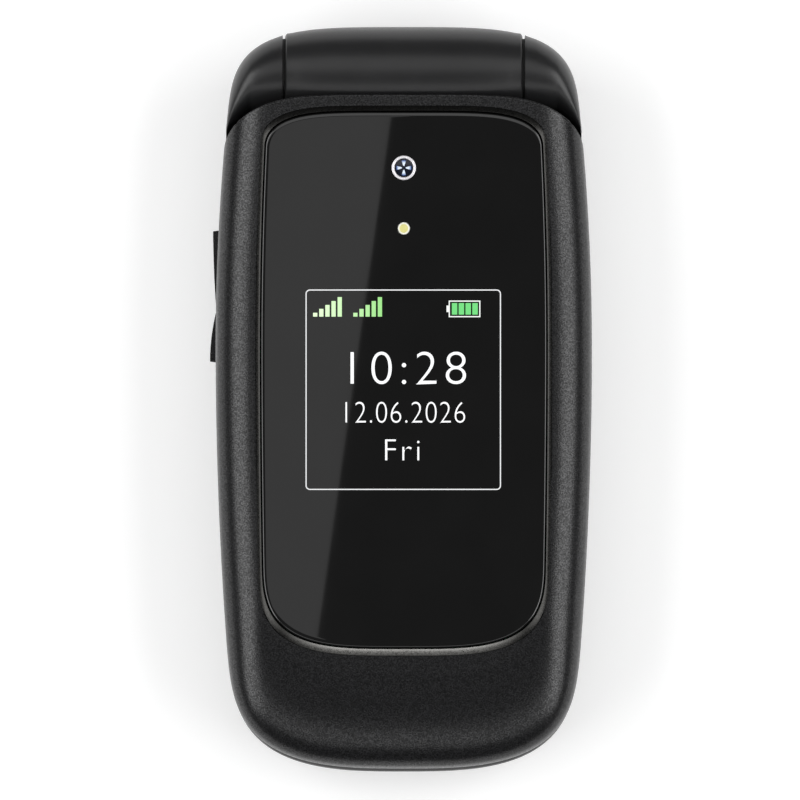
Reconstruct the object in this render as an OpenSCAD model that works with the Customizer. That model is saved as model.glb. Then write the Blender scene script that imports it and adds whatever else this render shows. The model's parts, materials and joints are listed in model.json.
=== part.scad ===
// Flip phone, closed, lying on its back: the lid faces +Z and the hinge end is +Y.
// Origin: the centre of the flat back face. All sizes in millimetres.

/* [Body] */
// Largest width across the sides
body_w = 53; // [52.5:0.5:56]
// From the origin to the free end (the foot)
foot_len = 52.6; // [52:0.1:55]
// From the origin to the outside of the hinge barrel (the head)
head_len = 52.5; // [52:0.1:54]
// Place of the widest section along the body
wide_y = 7; // [4:0.5:10]
// How far each side has drawn in at the foot
foot_bow = 3.2; // [2.4:0.1:3.4]
// How far each side has drawn in at the head
head_bow = 3.1; // [2.6:0.1:3.4]
// Length of the rounded foot end
foot_cap = 20; // [18:0.5:22]
// Length of the rounded head end
head_cap = 14; // [13:0.5:15]
// Thickness of the keypad half
base_t = 10.2; // [10.2:0.1:10.8]
// Thickness of the lid
lid_t = 8.5; // [8.4:0.1:9.2]
// Gap between the closed halves
lid_gap = 0.3; // [0.3:0.05:0.4]
// Height of the seam between the two base housings
base_seam = 5.6; // [5.5:0.1:5.7]
// Thickness of the lid's inner frame
frame_t = 1.65; // [1.6:0.05:1.8]
// Wall of the housings
wall = 1.3; // [1.2:0.05:1.4]

/* [Hinge] */
// Radius of the hinge barrel at mid width
barrel_r = 6.5; // [6.3:0.05:6.6]
// Height of the hinge axis above the back
hinge_z = 12; // [11.9:0.05:12.1]
// Length of the barrel between the knuckles
barrel_len = 33.4; // [32:0.2:34]
// Gap between the barrel and a knuckle, and round both
hinge_gap = 0.35; // [0.3:0.05:0.4]
// Radius of the hollow hinge pin
pin_r = 2; // [1.8:0.05:2.2]
// Radius of the bore through the hinge pin
pin_bore_r = 1.3; // [1.2:0.05:1.4]
// Radius of the sprung cartridge
cartridge_r = 3; // [2.8:0.05:3.1]
// Radius of the cam shaft
shaft_r = 1.2; // [1:0.05:1.4]
// Radial running clearance of the pin and the shaft
run_fit = 0.05; // [0.03:0.01:0.08]

/* [Lid window] */
// Half width of the window
lens_hw = 20.2; // [19.6:0.1:20.6]
// From the head end to the window
lens_head_in = 12; // [11.9:0.1:12.5]
// From the foot end to the window
lens_foot_in = 17.6; // [16.6:0.1:18.6]
// Thickness of the window
lens_t = 1.2; // [1:0.05:1.3]
// Width of the bright trim at the window's foot
trim_w = 0.95; // [0.7:0.05:1.1]
// From the head end to the camera
cam_in = 20; // [19.5:0.1:21.5]
// Outer radius of the camera ring
cam_ring_r = 1.72; // [1.5:0.02:1.9]
// From the camera to the flash lamp
flash_drop = 8.5; // [6.5:0.1:9.5]
// Radius of the flash lamp
flash_r = 0.85; // [0.7:0.05:1]
// How far the outer display sits below the middle of the window
show_drop = 2.35; // [1.8:0.05:3.8]
// Width of the outer display module
show_w = 32; // [30:0.5:33]
// Length of the outer display module
show_l = 36; // [34:0.5:37]

/* [Lid inside] */
// Width of the inner display's window
view_w = 38; // [36:0.5:39]
// Length of the inner display's window
view_l = 50; // [48:0.5:51]
// How far the inner display sits below the middle of the lid
view_drop = 6.95; // [6.25:0.05:7.95]
// Width of black border round the inner display's window
view_rim = 2.6; // [2.2:0.1:2.8]
// Depth of the recess over the keys
key_recess = 0.4; // [0.35:0.05:0.5]

/* [Keys] */
// Width of a number key
key_w = 13.2; // [12.6:0.1:13.3]
// Height of a number key
key_h = 9.4; // [8.6:0.1:9.8]
// Distance between the columns
key_pitch_x = 14.8; // [14.6:0.1:15]
// Distance between the rows
key_pitch_y = 11.5; // [11.2:0.1:11.6]
// From the foot end to the bottom row
key_foot_in = 14.4; // [14.3:0.1:14.8]
// How far the keys stand over the housing
key_proud = 0.25; // [0.1:0.05:0.3]
// Travel of a key
key_travel = 0.4; // [0.3:0.05:0.4]
// Gap round a key
key_gap = 0.3; // [0.25:0.05:0.4]
// Width of the navigation ring
nav_w = 19; // [18:0.5:19.4]
// Length of the navigation ring
nav_h = 18.5; // [17.5:0.5:19]
// From the head end to the navigation ring
nav_in = 35.5; // [35:0.1:36]
// Half width of the centre key
ok_r = 3.7; // [3.4:0.05:4]
// Width of a function key
soft_w = 10; // [9:0.1:10.2]
// Height of a function key
soft_h = 8.6; // [8:0.1:9]

/* [Rocker] */
// Foot end of the volume rocker
rocker_y0 = 5.2; // [4.5:0.1:6]
// Length of the volume rocker
rocker_l = 18.7; // [17:0.1:19]
// Height of the volume rocker
rocker_h = 2.2; // [2:0.1:2.3]
// How far its ends stand out
rocker_out = 0.88; // [0.6:0.02:1]

/* [Battery side] */
// Width of the battery
batt_w = 34.6; // [33:0.1:35]
// Length of the battery
batt_l = 53.6; // [52:0.1:54]
// Thickness of the battery
batt_t = 4; // [3.8:0.05:4]
// From the foot end to the battery
batt_in = 19.8; // [19.3:0.1:20.3]
// Thickness of the battery cover
cover_t = 1.1; // [1:0.05:1.2]
// From the foot end to the battery cover
cover_foot_in = 3.2; // [3:0.1:3.6]
// From the head end to the battery cover
cover_head_in = 16.5; // [15.5:0.1:17.5]

/* [Sockets] */
// Bore radius of the 3.5 mm headset jack
jack_r = 1.8; // [1.76:0.01:1.85]
// Depth of the headset jack's bore
jack_depth = 14; // [13.5:0.1:14.2]
// Place of the jack across the foot
jack_x = -8; // [-8.5:0.1:-7.5]
// Place of the USB socket across the foot
usb_x = 7; // [6.5:0.1:7.5]
// Width of the USB socket
usb_w = 7.6; // [7.4:0.1:7.8]

/* [Hidden] */
$fn = 48;

eps = 0.05;
seat = 0.1;                              // clearance between pieces that sit in each other
cap_steps = 9;                           // points along each rounded corner of an outline
side_steps = 6;                          // points along each side of an outline

// Levels of the base, from the back up
base_top = base_t;
face_t = 1;                              // thickness of the keypad face
face_z = base_top - face_t;
board_t = 0.7;
dome_h = 0.25;
key_foot_z = face_z - 0.75;              // underside of a key at rest
key_top = base_top + key_proud;
flange = 0.6;                            // rim that holds a key in
dome_top = key_foot_z - key_travel - 0.05;
sheet_t = 0.15;
board_top = dome_top - dome_h - sheet_t;
board_z = board_top - board_t;
floor_z = cover_t + 0.15;                // outside of the rear housing under the battery cover
floor_top = floor_z + 0.95;
bay_gap = 0.35;
bay_wall = 1;
bay_roof_z = batt_t + 1.35 + 0.55;
bay_roof_t = 0.6;
socket_z = board_z - 2.3;                // centre height of the headset jack

// Levels of the lid, from its inner face up
lid_z = base_top + lid_gap;
frame_top = lid_z + frame_t;
closed_t = lid_z + lid_t;
cover_z = frame_top + eps;
crown_z = closed_t - 0.45;               // flat of the cover round the window
ledge_z = closed_t - lens_t - 0.6;       // ledge that carries the trim
lens_z = closed_t - lens_t;
show_t = 1.9;
show_z = lens_z - eps - show_t;
lid_board_t = 0.75;
lid_board_z = show_z - seat - lid_board_t;
view_z = frame_top + eps;
view_t = 2.4;
inner_lens_z = lid_z + key_recess + eps;
inner_lens_t = 0.9;

// Hinge
hinge_y = head_len - barrel_r;
barrel_x = barrel_len / 2;
knuckle_x = barrel_x + hinge_gap;
knuckle_depth = 4;                       // depth of the bores in the knuckles
pin_in = 6.3;                            // how far the pin reaches into the barrel
cartridge_len = 15;

// Places along the phone
cam_y = head_len - cam_in;
flash_y = cam_y - flash_drop;
view_y = (head_len - foot_len) / 2 - view_drop;
key_foot_y = key_foot_in - foot_len;
nav_y = head_len - nav_in;
batt_y = batt_in - foot_len + batt_l / 2;
batt_head = batt_y + batt_l / 2;

// Outlines: half width, place of the widest section, foot, head, bow at foot and head,
// then length and two exponents of the foot end and of the head end
BODY = [body_w / 2, wide_y, -foot_len, head_len, foot_bow, head_bow,
    [foot_cap, 4, 3], [head_cap, 4, 3.75]];
lens_top = head_len - lens_head_in;
lens_foot = foot_len - lens_foot_in;
LENS = [lens_hw, wide_y + 1, -lens_foot, lens_top, 0.5, 0.9, [12, 3, 3.7], [5, 2.2, 5]];

function side_x(S, y, inset) = S[0] - inset - (y > S[1]
    ? S[5] * pow((y - S[1]) / (S[3] - S[1]), 2)
    : S[4] * pow((S[1] - y) / (S[1] - S[2]), 2));

// A corner follows |x/a|^p + |y/b|^q = 1, walked by an angle from the side to the end
function corner(S, end, a, inset, yc, cap, dir) =
    let (y = yc + dir * cap * pow(sin(a), 2 / end[1]))
    [side_x(S, y, inset) * pow(cos(a), 2 / end[2]), y];

function half_outline(S, side, foot, head) =
    let (fc = S[6][0] - 0.4 * foot, hc = S[7][0] - 0.4 * head,
        yf = S[2] + foot + fc, yh = S[3] - head - hc)
    concat(
        [[0, S[2] + foot]],
        [for (i = [1:cap_steps]) corner(S, S[6], 90 * (1 - i / cap_steps), side, yf, fc, -1)],
        [for (i = [1:side_steps - 1]) let (y = yf + (yh - yf) * i / side_steps)
            [side_x(S, y, side), y]],
        [for (i = [0:cap_steps - 1]) corner(S, S[7], 90 * i / cap_steps, side, yh, hc, 1)],
        [[0, S[3] - head]]);

function outline(S, side = 0, foot = 0, head = 0) =
    let (right = half_outline(S, side, foot, head), n = len(right))
    concat(right, [for (i = [n - 2:-1:1]) [-right[i][0], right[i][1]]]);

// Rounded rectangle |x/a|^4 + |y/b|^4 = 1 of n points
function pad(w, h, n = 24) = [for (i = [0:n - 1]) let (a = 360 * i / n)
    [w / 2 * sign(cos(a)) * sqrt(abs(cos(a))), h / 2 * sign(sin(a)) * sqrt(abs(sin(a)))]];

function raise(ring, z) = [for (p = ring) [p[0], p[1], z]];

// Closed skin over rings of equal length; each ring runs anticlockwise seen from the last ring
module skin(rings) {
    n = len(rings[0]);
    last = (len(rings) - 1) * n;
    polyhedron(
        points = [for (r = rings) for (p = r) p],
        faces = concat(
            [[for (i = [0:n - 1]) i]],
            [[for (i = [n - 1:-1:0]) last + i]],
            [for (k = [0:len(rings) - 2]) for (i = [0:n - 1]) let (j = (i + 1) % n)
                [k * n + i, (k + 1) * n + i, (k + 1) * n + j]],
            [for (k = [0:len(rings) - 2]) for (i = [0:n - 1]) let (j = (i + 1) % n)
                [k * n + i, (k + 1) * n + j, k * n + j]]));
}

// Levels are [height, side inset, foot inset, head inset]
module loft(S, levels) skin([for (v = levels) raise(outline(S, v[1], v[2], v[3]), v[0])]);

module slab(z0, z1) translate([0, 0, z0]) linear_extrude(z1 - z0) children();

module drill(x, y, z0, z1, r) translate([x, y, z0]) cylinder(r = r, h = z1 - z0);

module box(x0, x1, y0, y1, z0, z1) translate([x0, y0, z0]) cube([x1 - x0, y1 - y0, z1 - z0]);

// Slot outline with round ends
module stadium(w, h) {
    square([w - h, h], center = true);
    for (s = [-1, 1]) translate([s * (w - h) / 2, 0]) circle(h / 2);
}

// Turns a shape that stands along Z into one that lies along the hinge axis
module at_hinge(x = 0) translate([x, hinge_y, hinge_z]) rotate([0, 90, 0]) children();

/* ---- hinge outlines ---- */

// Distance from the hinge axis to the head's silhouette, at half width x
function head_reach(x) = let (a = side_x(BODY, head_len - 2, 0))
    head_len - head_cap + head_cap * pow(1 - pow(min(x / a, 1), BODY[7][2]), 1 / BODY[7][1]) - hinge_y;

// Upper end of the lid cover, as seen from above
arch_foot = hinge_y - 10.4;
arch_rise = 7.3;
arch_hw = 25.3;
function arch_y(x) = arch_foot + arch_rise * pow(max(0, 1 - pow(abs(x) / arch_hw, 5)), 0.72);

// Section of a knuckle at half width x: an egg round the axis height
knuckle_drop = 4.6;
knuckle_top = head_reach(knuckle_x);
knuckle_w = 8.3;
function knuckle_section(x, y1, n = 28) =
    let (y0 = min(hinge_y - knuckle_top, arch_y(x) + hinge_gap),
        up = knuckle_top * sqrt(max(0.02, 1 - pow((x - knuckle_x) / knuckle_w, 3))))
    [for (i = [0:n - 1]) let (a = 360 * i / n)
        [x, (y0 + y1) / 2 + (y1 - y0) / 2 * cos(a), hinge_z + (a < 180 ? up : knuckle_drop) * sin(a)]];

// Stations of a knuckle: points of the head's corner, then one last narrow section
knuckle_stations = concat(
    [[knuckle_x, hinge_y + knuckle_top]],
    [for (i = [8:-1:0]) corner(BODY, BODY[7], 50 * pow(i / 8, 0.9), 0, head_len - head_cap, head_cap, 1)]);

module knuckle() skin([for (s = knuckle_stations) knuckle_section(s[0], s[1])]);

function section_reach(s) = max([for (p = knuckle_section(s[0], s[1]))
    norm([p[1] - hinge_y, p[2] - hinge_z])]);

// Room that the knuckles need in the lid
module knuckle_relief() {
    n = len(knuckle_stations);
    outer = knuckle_stations[n - 1];
    for (m = [0, 1]) mirror([m, 0, 0]) at_hinge() rotate_extrude() polygon(concat(
        [[0, barrel_x], [section_reach(knuckle_stations[0]) + hinge_gap, barrel_x]],
        [for (s = knuckle_stations) [section_reach(s) + hinge_gap, s[0]]],
        [[section_reach(outer) + hinge_gap, body_w], [0, body_w]]));
}

// Barrel outline as a solid of revolution, grown by gap
module barrel_form(gap, end_gap) {
    n = 12;
    at_hinge() rotate_extrude() polygon(concat(
        [[0, -barrel_x - end_gap], [head_reach(barrel_x) + gap, -barrel_x - end_gap]],
        [for (i = [-n:n]) [head_reach(abs(i) / n * barrel_x) + gap, i / n * barrel_x]],
        [[head_reach(barrel_x) + gap, barrel_x + end_gap], [0, barrel_x + end_gap]]));
}

// Everything past the cover's arched end
module past_arch() slab(lid_z - 1, closed_t + 1) polygon(concat(
    [for (i = [-16:16]) let (x = sign(i) * arch_hw * pow(abs(i) / 16, 0.5)) [x, arch_y(x)]],
    [[body_w, arch_foot], [body_w, head_len + 10], [-body_w, head_len + 10], [-body_w, arch_foot]]));

/* ---- lid ---- */

lid_screw_at = [for (sx = [-1, 1]) for (p = [[9.9, 6.4 - foot_len], [5.3, head_len - 23.5]])
    [sx * (body_w / 2 - p[0]), p[1]]];
plug_r = 1.6;
head_r = 1.5;
thread_r = 0.78;
boss_r = 1.9;
bore_slack = 0.04;
plug_z = lid_z - 0.15;
screw_head_z = lid_z + 0.55;
lid_ledge_z = lid_z + frame_t - 0.4;
lid_screw_top = cover_z + 3;

// Levels of the lid cover, from its seam to the flat round the window
cover_levels = [[cover_z, 0.1, 0.75, 0], [cover_z + 1.4, 0, 0.65, 0], [closed_t - 4.1, 0.25, 0.95, 0],
    [closed_t - 3, 0.8, 1.7, 0], [closed_t - 2.1, 1.6, 3, 0], [closed_t - 1.4, 2.6, 5, 0],
    [closed_t - 0.9, 3.7, 7.5, 0], [closed_t - 0.6, 4.7, 10.5, 0], [crown_z, 5.5, 14, 0]];

module lid_cover() color([0.11, 0.11, 0.115]) difference() {
    union() {
        difference() {
            loft(BODY, cover_levels);
            loft(BODY, [[cover_z - 1, wall + 0.1, 0.75 + wall, 14.2],
                [closed_t - 4.2, wall + 0.2, 1.2 + wall, 14.2],
                [closed_t - 3.4, wall + 1.1, 2.8 + wall, 14.8],
                [ledge_z - 0.8, wall + 2.9, 6.2 + wall, 15.5]]);
        }
        intersection() {
            for (p = lid_screw_at) drill(p[0], p[1], cover_z, closed_t - 2, boss_r);
            loft(BODY, cover_levels);
        }
    }
    slab(ledge_z, closed_t + 1) polygon(outline(LENS, -trim_w * 0.6 - eps, -trim_w - eps, -0.7 - eps));
    slab(ledge_z - 2, closed_t) polygon(outline(LENS, 1.3, 1.3, 1.3));
    for (p = lid_screw_at) drill(p[0], p[1], cover_z - 1, lid_screw_top + 0.2, thread_r + bore_slack);
    past_arch();
    knuckle_relief();
    barrel_form(seat, hinge_gap);
    box(flex_x - flex_w / 2 - 0.3, flex_x + flex_w / 2 + 0.3, hinge_y - 10, hinge_y,
        cover_z - 1, cover_z + 1.1);
}

module lens_trim() color([0.55, 0.54, 0.52]) difference() {
    loft(LENS, [[ledge_z + eps, -trim_w * 0.6, -trim_w, -0.7],
        [crown_z + eps, -trim_w * 0.6, -trim_w, -0.7],
        [closed_t - eps, -eps, -eps, -eps]]);
    slab(ledge_z - 1, closed_t + 1) polygon(outline(LENS, eps / 2, eps / 2, eps / 2));
}

module lid_lens() color([0.02, 0.02, 0.02]) difference() {
    loft(LENS, [[lens_z, eps * 2, eps * 2, eps * 2], [closed_t - 0.15, eps * 2, eps * 2, eps * 2],
        [closed_t, 0.25, 0.25, 0.25]]);
    drill(0, cam_y, lens_z - 1, closed_t + 1, cam_ring_r + eps);
    drill(0, flash_y, lens_z - 1, closed_t + 1, flash_r + eps);
}

show_y = (lens_top - lens_foot) / 2 - show_drop;
module outer_display() color([0.05, 0.05, 0.06]) translate([0, show_y, 0]) {
    slab(show_z, show_z + show_t - 0.4) square([show_w, show_l], center = true);
    slab(show_z + show_t - 0.4, show_z + show_t) square([show_w - 1, show_l - 3], center = true);
}

module camera_ring() color([0.85, 0.85, 0.88]) translate([0, cam_y, 0]) rotate_extrude()
    let (r1 = cam_ring_r, r0 = cam_ring_r - 0.5, z = closed_t)
    polygon([[r0, lens_z], [r1, lens_z], [r1, z], [r1 - 0.1, z + 0.1], [r1 - 0.25, z + 0.15],
        [r1 - 0.4, z + 0.08], [r0, z - 0.15]]);

module camera_lens() color([0.05, 0.07, 0.15]) translate([0, cam_y, 0]) rotate_extrude()
    let (r = cam_ring_r - 0.5 - eps / 2)
    polygon([[0, lens_z], [r, lens_z], [r, closed_t - 0.45], [r * 0.7, closed_t - 0.3],
        [r * 0.35, closed_t - 0.24], [0, closed_t - 0.22]]);

cam_box = 6.4;
module camera_module() color([0.15, 0.15, 0.16]) {
    slab(frame_top + 0.3, lid_board_z + 1) translate([0, cam_y]) square(cam_box, center = true);
    drill(0, cam_y, lid_board_z + 1, lens_z - eps, 2.8);
}

module flash_led() color([0.9, 0.88, 0.5]) {
    slab(lid_board_z + lid_board_t, lens_z - 0.6) translate([0, flash_y]) square([2.8, 2.2], center = true);
    translate([0, flash_y, 0]) rotate_extrude() polygon([[0, lens_z - 0.6], [flash_r, lens_z - 0.6],
        [flash_r, closed_t - 0.1], [flash_r * 0.7, closed_t], [0, closed_t + 0.08]]);
}

// Inner frame of the lid, moulded with the hinge barrel
ear_slot = [9.6, 1.6];
ear_y = 9.1 - foot_len;
module lid_inner_frame() color([0.09, 0.09, 0.1]) difference() {
    union() {
        difference() {
            loft(BODY, [[lid_z, 0.35, 1.1, 0], [lid_z + 0.4, 0.12, 0.85, 0], [frame_top, 0.1, 0.75, 0]]);
            past_arch();
            knuckle_relief();
        }
        barrel_form(0, 0);
    }
    // Recess over the keys, pocket of the inner lens and the display's window
    slab(lid_z - 1, lid_z + key_recess) translate([0, (key_foot_y + nav_y) / 2])
        polygon(pad(2 * key_pitch_x + key_w + 3, nav_y + nav_h / 2 - key_foot_y + key_h / 2 + 6));
    slab(lid_z, inner_lens_z + inner_lens_t + eps) translate([0, view_y])
        polygon(pad(view_w + 2 * (view_rim + seat), view_l + 4 * (view_rim + seat), 32));
    slab(lid_z, frame_top + 1) translate([0, view_y]) square([view_w, view_l], center = true);
    slab(lid_z - 1, frame_top + 1) translate([0, ear_y]) stadium(ear_slot[0], ear_slot[1]);
    slab(frame_top - 0.75, frame_top + 1) translate([0, ear_y]) stadium(ear_slot[0] + 1.2, ear_slot[1] + 1.2);
    for (p = lid_screw_at) {
        drill(p[0], p[1], lid_z - 1, lid_ledge_z, plug_r + seat);
        drill(p[0], p[1], lid_z - 1, frame_top + 1, thread_r + seat);
    }
    // Bores of the barrel: pin, flex roll and cartridge
    at_hinge(-barrel_x - 1) cylinder(r = pin_r + run_fit, h = pin_in + 1.5);
    at_hinge(-barrel_x + pin_in + 0.3)
        cylinder(r = roll_r + 0.3, h = 2 * barrel_x - pin_in - cartridge_len - 0.4);
    at_hinge(barrel_x - cartridge_len - 0.2) cylinder(r = cartridge_r + eps, h = cartridge_len + 2);
    box(flex_x - flex_w / 2 - 0.3, flex_x + flex_w / 2 + 0.3, hinge_y - 10, hinge_y,
        cover_z + 0.1, cover_z + 1);
    at_hinge(barrel_x - cartridge_len) box(-cartridge_r - 0.8, 0, -0.65, 0.65, -0.2, 6.3);
}

module inner_lens() color([0.03, 0.03, 0.035]) slab(inner_lens_z, inner_lens_z + inner_lens_t)
    translate([0, view_y]) polygon(pad(view_w + 2 * view_rim, view_l + 4 * view_rim, 32));

module inner_display() color([0.25, 0.26, 0.3]) translate([0, view_y, 0]) {
    slab(view_z, view_z + view_t) square([view_w + 4.6, view_l + 9], center = true);
    slab(inner_lens_z + inner_lens_t + eps, view_z) square([view_w - 0.6, view_l - 0.6], center = true);
}

module earpiece() color([0.3, 0.3, 0.32]) slab(frame_top + eps, frame_top + 2.6)
    translate([0, ear_y]) stadium(14.5, 5.6);

module earpiece_mesh() color([0.35, 0.35, 0.36]) slab(frame_top - 0.7, frame_top - 0.3)
    translate([0, ear_y]) stadium(ear_slot[0] + 1, ear_slot[1] + 1);

module lid_board() color([0.05, 0.3, 0.16]) {
    difference() {
        slab(lid_board_z, lid_board_z + lid_board_t) polygon(outline(BODY, wall + 2.2, 10, 16));
        translate([0, cam_y, lid_board_z]) cube([cam_box + 0.4, cam_box + 0.4, 5], center = true);
        for (p = lid_screw_at) drill(p[0], p[1], lid_board_z - 1, lid_board_z + 2, boss_r + 0.25);
    }
    slab(lid_board_z - 0.9, lid_board_z) translate([flex_x, flex_end_y]) square([flex_w, 2.2], center = true);
    slab(lid_board_z - 0.35, lid_board_z) translate([10, cam_y - 5.5]) square([7, 7], center = true);
}

module lid_magnet() color([0.6, 0.6, 0.62]) slab(frame_top + eps, frame_top + 1.6)
    translate([0, ear_y - 4.9]) square([8, 2.4], center = true);

module lid_bumpers() color([0.06, 0.06, 0.06]) for (p = lid_screw_at)
    translate([p[0], p[1], 0]) rotate_extrude() polygon([[0, plug_z], [plug_r - 0.4, plug_z],
        [plug_r, plug_z + 0.25], [plug_r, screw_head_z - eps], [0, screw_head_z - eps]]);

module lid_screws() color([0.5, 0.5, 0.5]) for (p = lid_screw_at) difference() {
    union() {
        drill(p[0], p[1], screw_head_z, lid_ledge_z - eps, head_r);
        drill(p[0], p[1], screw_head_z, lid_screw_top, thread_r);
    }
    for (a = [0, 90]) translate([p[0], p[1], screw_head_z]) rotate(a) cube([1.6, 0.35, 0.5], center = true);
}

/* ---- hinge ---- */

module hinge_cartridge() color([0.62, 0.62, 0.6]) difference() {
    union() {
        at_hinge(barrel_x - cartridge_len) cylinder(r = cartridge_r, h = cartridge_len - 0.3);
        at_hinge(barrel_x - cartridge_len) box(-cartridge_r - 0.65, 0, -0.55, 0.55, 0, 6);
    }
    at_hinge(barrel_x - shaft_in) cylinder(r = shaft_r + run_fit, h = shaft_in + 1);
    at_hinge(barrel_x - 1) difference() {
        cylinder(r = cartridge_r + 1, h = 2);
        cylinder(r = cartridge_r - 0.35, h = 2);
    }
}

shaft_in = 9;
hex_r = 2.3;
module hinge_cam_shaft() color([0.7, 0.7, 0.7]) {
    at_hinge(barrel_x - shaft_in + 0.3) cylinder(r = shaft_r, h = shaft_in + hinge_gap);
    at_hinge(knuckle_x + eps) cylinder(r = hex_r, h = knuckle_depth - 2 * eps, $fn = 6);
}

module hinge_pin() color([0.75, 0.7, 0.5]) difference() {
    at_hinge(-knuckle_x - knuckle_depth + eps) cylinder(r = pin_r, h = knuckle_depth + hinge_gap + pin_in);
    at_hinge(-knuckle_x - knuckle_depth - 1) cylinder(r = pin_bore_r, h = knuckle_depth + pin_in + 4);
}

// Flat cable: a rolled strip in the barrel, with a lead to the lid's board and one into the pin
flex_w = 6.2;
flex_x = -6.6;
flex_t = 0.14;
flex_end_y = hinge_y - 10.6;
roll_r = 2.2;
roll_in = 0.55;
tight_r = 1.05;
function spiral(r0, r1, a0, a1, n) =
    [for (i = [0:n]) let (t = i / n, a = a0 + (a1 - a0) * t, r = r0 + (r1 - r0) * t)
    [r * cos(a), r * sin(a)]];
// Strip of even thickness along a path
function strip(path, t) = let (n = len(path),
    nrm = [for (i = [0:n - 1])
        let (d = path[min(i + 1, n - 1)] - path[max(i - 1, 0)]) [-d[1], d[0]] / norm(d)])
    concat([for (i = [0:n - 1]) path[i] + nrm[i] * t / 2], [for (i = [n - 1:-1:0]) path[i] - nrm[i] * t / 2]);
// Lays a (y, z) shape, taken from the hinge axis, along X
module along_x(x0, x1) translate([x0, hinge_y, hinge_z])
    rotate([90, 0, 90]) linear_extrude(x1 - x0) children();

module hinge_flex() color([0.85, 0.55, 0.2]) {
    lead_z = cover_z + 0.55 - hinge_z;
    end_a = 180 - asin(lead_z / roll_r);
    along_x(flex_x - flex_w / 2, flex_x + flex_w / 2) polygon(strip(concat(
        spiral(roll_in, roll_r, end_a - 1080, end_a, 54),
        [[flex_end_y - hinge_y + 1, lead_z], [flex_end_y - hinge_y + 0.3, lead_z + 0.35],
            [flex_end_y - hinge_y, lid_board_z - hinge_z - 1]]), flex_t));
    along_x(-knuckle_x - knuckle_depth + 0.4, flex_x) polygon(strip(
        spiral(roll_in, tight_r, end_a - 1080,
            end_a - 1080 + 720 * (tight_r - roll_in) / (roll_r - roll_in) * 1.5, 26), flex_t));
}

/* ---- base ---- */

case_screw_at = [for (sx = [-1, 1]) for (p = [[10.5, 6.6 - foot_len], [5.7, head_len - 21.9]])
    [sx * (body_w / 2 - p[0]), p[1]]];
tower_r = 2.2;
case_head_z = floor_z + 0.9;
case_ledge_z = case_head_z + 1;
case_screw_top = face_z - 0.6;

// Levels of the base, shared by its housings and the battery cover
base_levels = [[0, 3, 3.2, 8], [0.5, 1.9, 2, 6.6], [1.4, 0.95, 1, 5], [2.8, 0.35, 0.35, 3.5],
    [4.6, 0.05, 0.05, 2.5], [base_seam, 0, 0, 2.1]];
front_levels = [[base_seam, 0, 0, 2.1], [base_seam + 0.8, 0, 0, 1.9], [base_top - 2.8, 0.02, 0, 3.6],
    [base_top - 0.7, 0.12, 0.12, 5.2], [base_top, 0.5, 0.55, 5.8]];
inner_levels = [[0, 2.3, 2.4, 0.5], [0.45, 1.6, 1.6, 0.4], [1.35, 0.95, 0.9, 0.3], [2.75, 0.8, 0.8, 0.2],
    [base_seam - cover_t, 0.95, 0.95, 0.2]];

// The base's form drawn in by the cover's thickness and a gap
module inner_form(gap) loft(BODY, [for (v = inner_levels)
    [v[0] + cover_t + gap, v[1] + cover_t * 0.9 + gap, v[2] + cover_t * 0.9 + gap, v[3] + 8]]);

cover_lip = 2.8;
cover_y0 = cover_foot_in - foot_len;
cover_y1 = head_len - cover_head_in;
cover_crown = 1.6;
module cover_plan(gap) slab(-1, cover_lip + gap) polygon(concat(
    [for (i = [-8:8]) [i / 8 * body_w, cover_y0 - gap]],
    [for (i = [8:-1:-8]) [i / 8 * body_w, cover_y1 + cover_crown * (1 - pow(i / 4, 2)) + gap]]));

module bay(grow, z0, z1) slab(z0, z1) translate([0, batt_y])
    square([batt_w + 2 * (bay_gap + grow), batt_l + 2 * (bay_gap + grow)], center = true);

foot_openings_y = -foot_len - 3;
module foot_openings() {
    translate([jack_x, foot_openings_y, socket_z]) rotate([-90, 0, 0]) cylinder(r = jack_r + 0.65, h = 8);
    box(usb_x - usb_w / 2 - 0.3, usb_x + usb_w / 2 + 0.3, foot_openings_y, -foot_len + 8,
        board_z - 3, board_z);
}

nav_at = [0, nav_y];
soft_x = nav_w / 2 + 2 * flange + 0.4 + soft_w / 2;
soft_dy = soft_h / 2 + 1.1;
function digit_at(i) = [((i % 3) - 1) * key_pitch_x, key_foot_y + (3 - floor(i / 3)) * key_pitch_y];
soft_at = [for (sy = [1, -1]) for (sx = [-1, 1]) [sx * soft_x, nav_y + sy * soft_dy]];
mic_y = 4.4 - foot_len;

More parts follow.
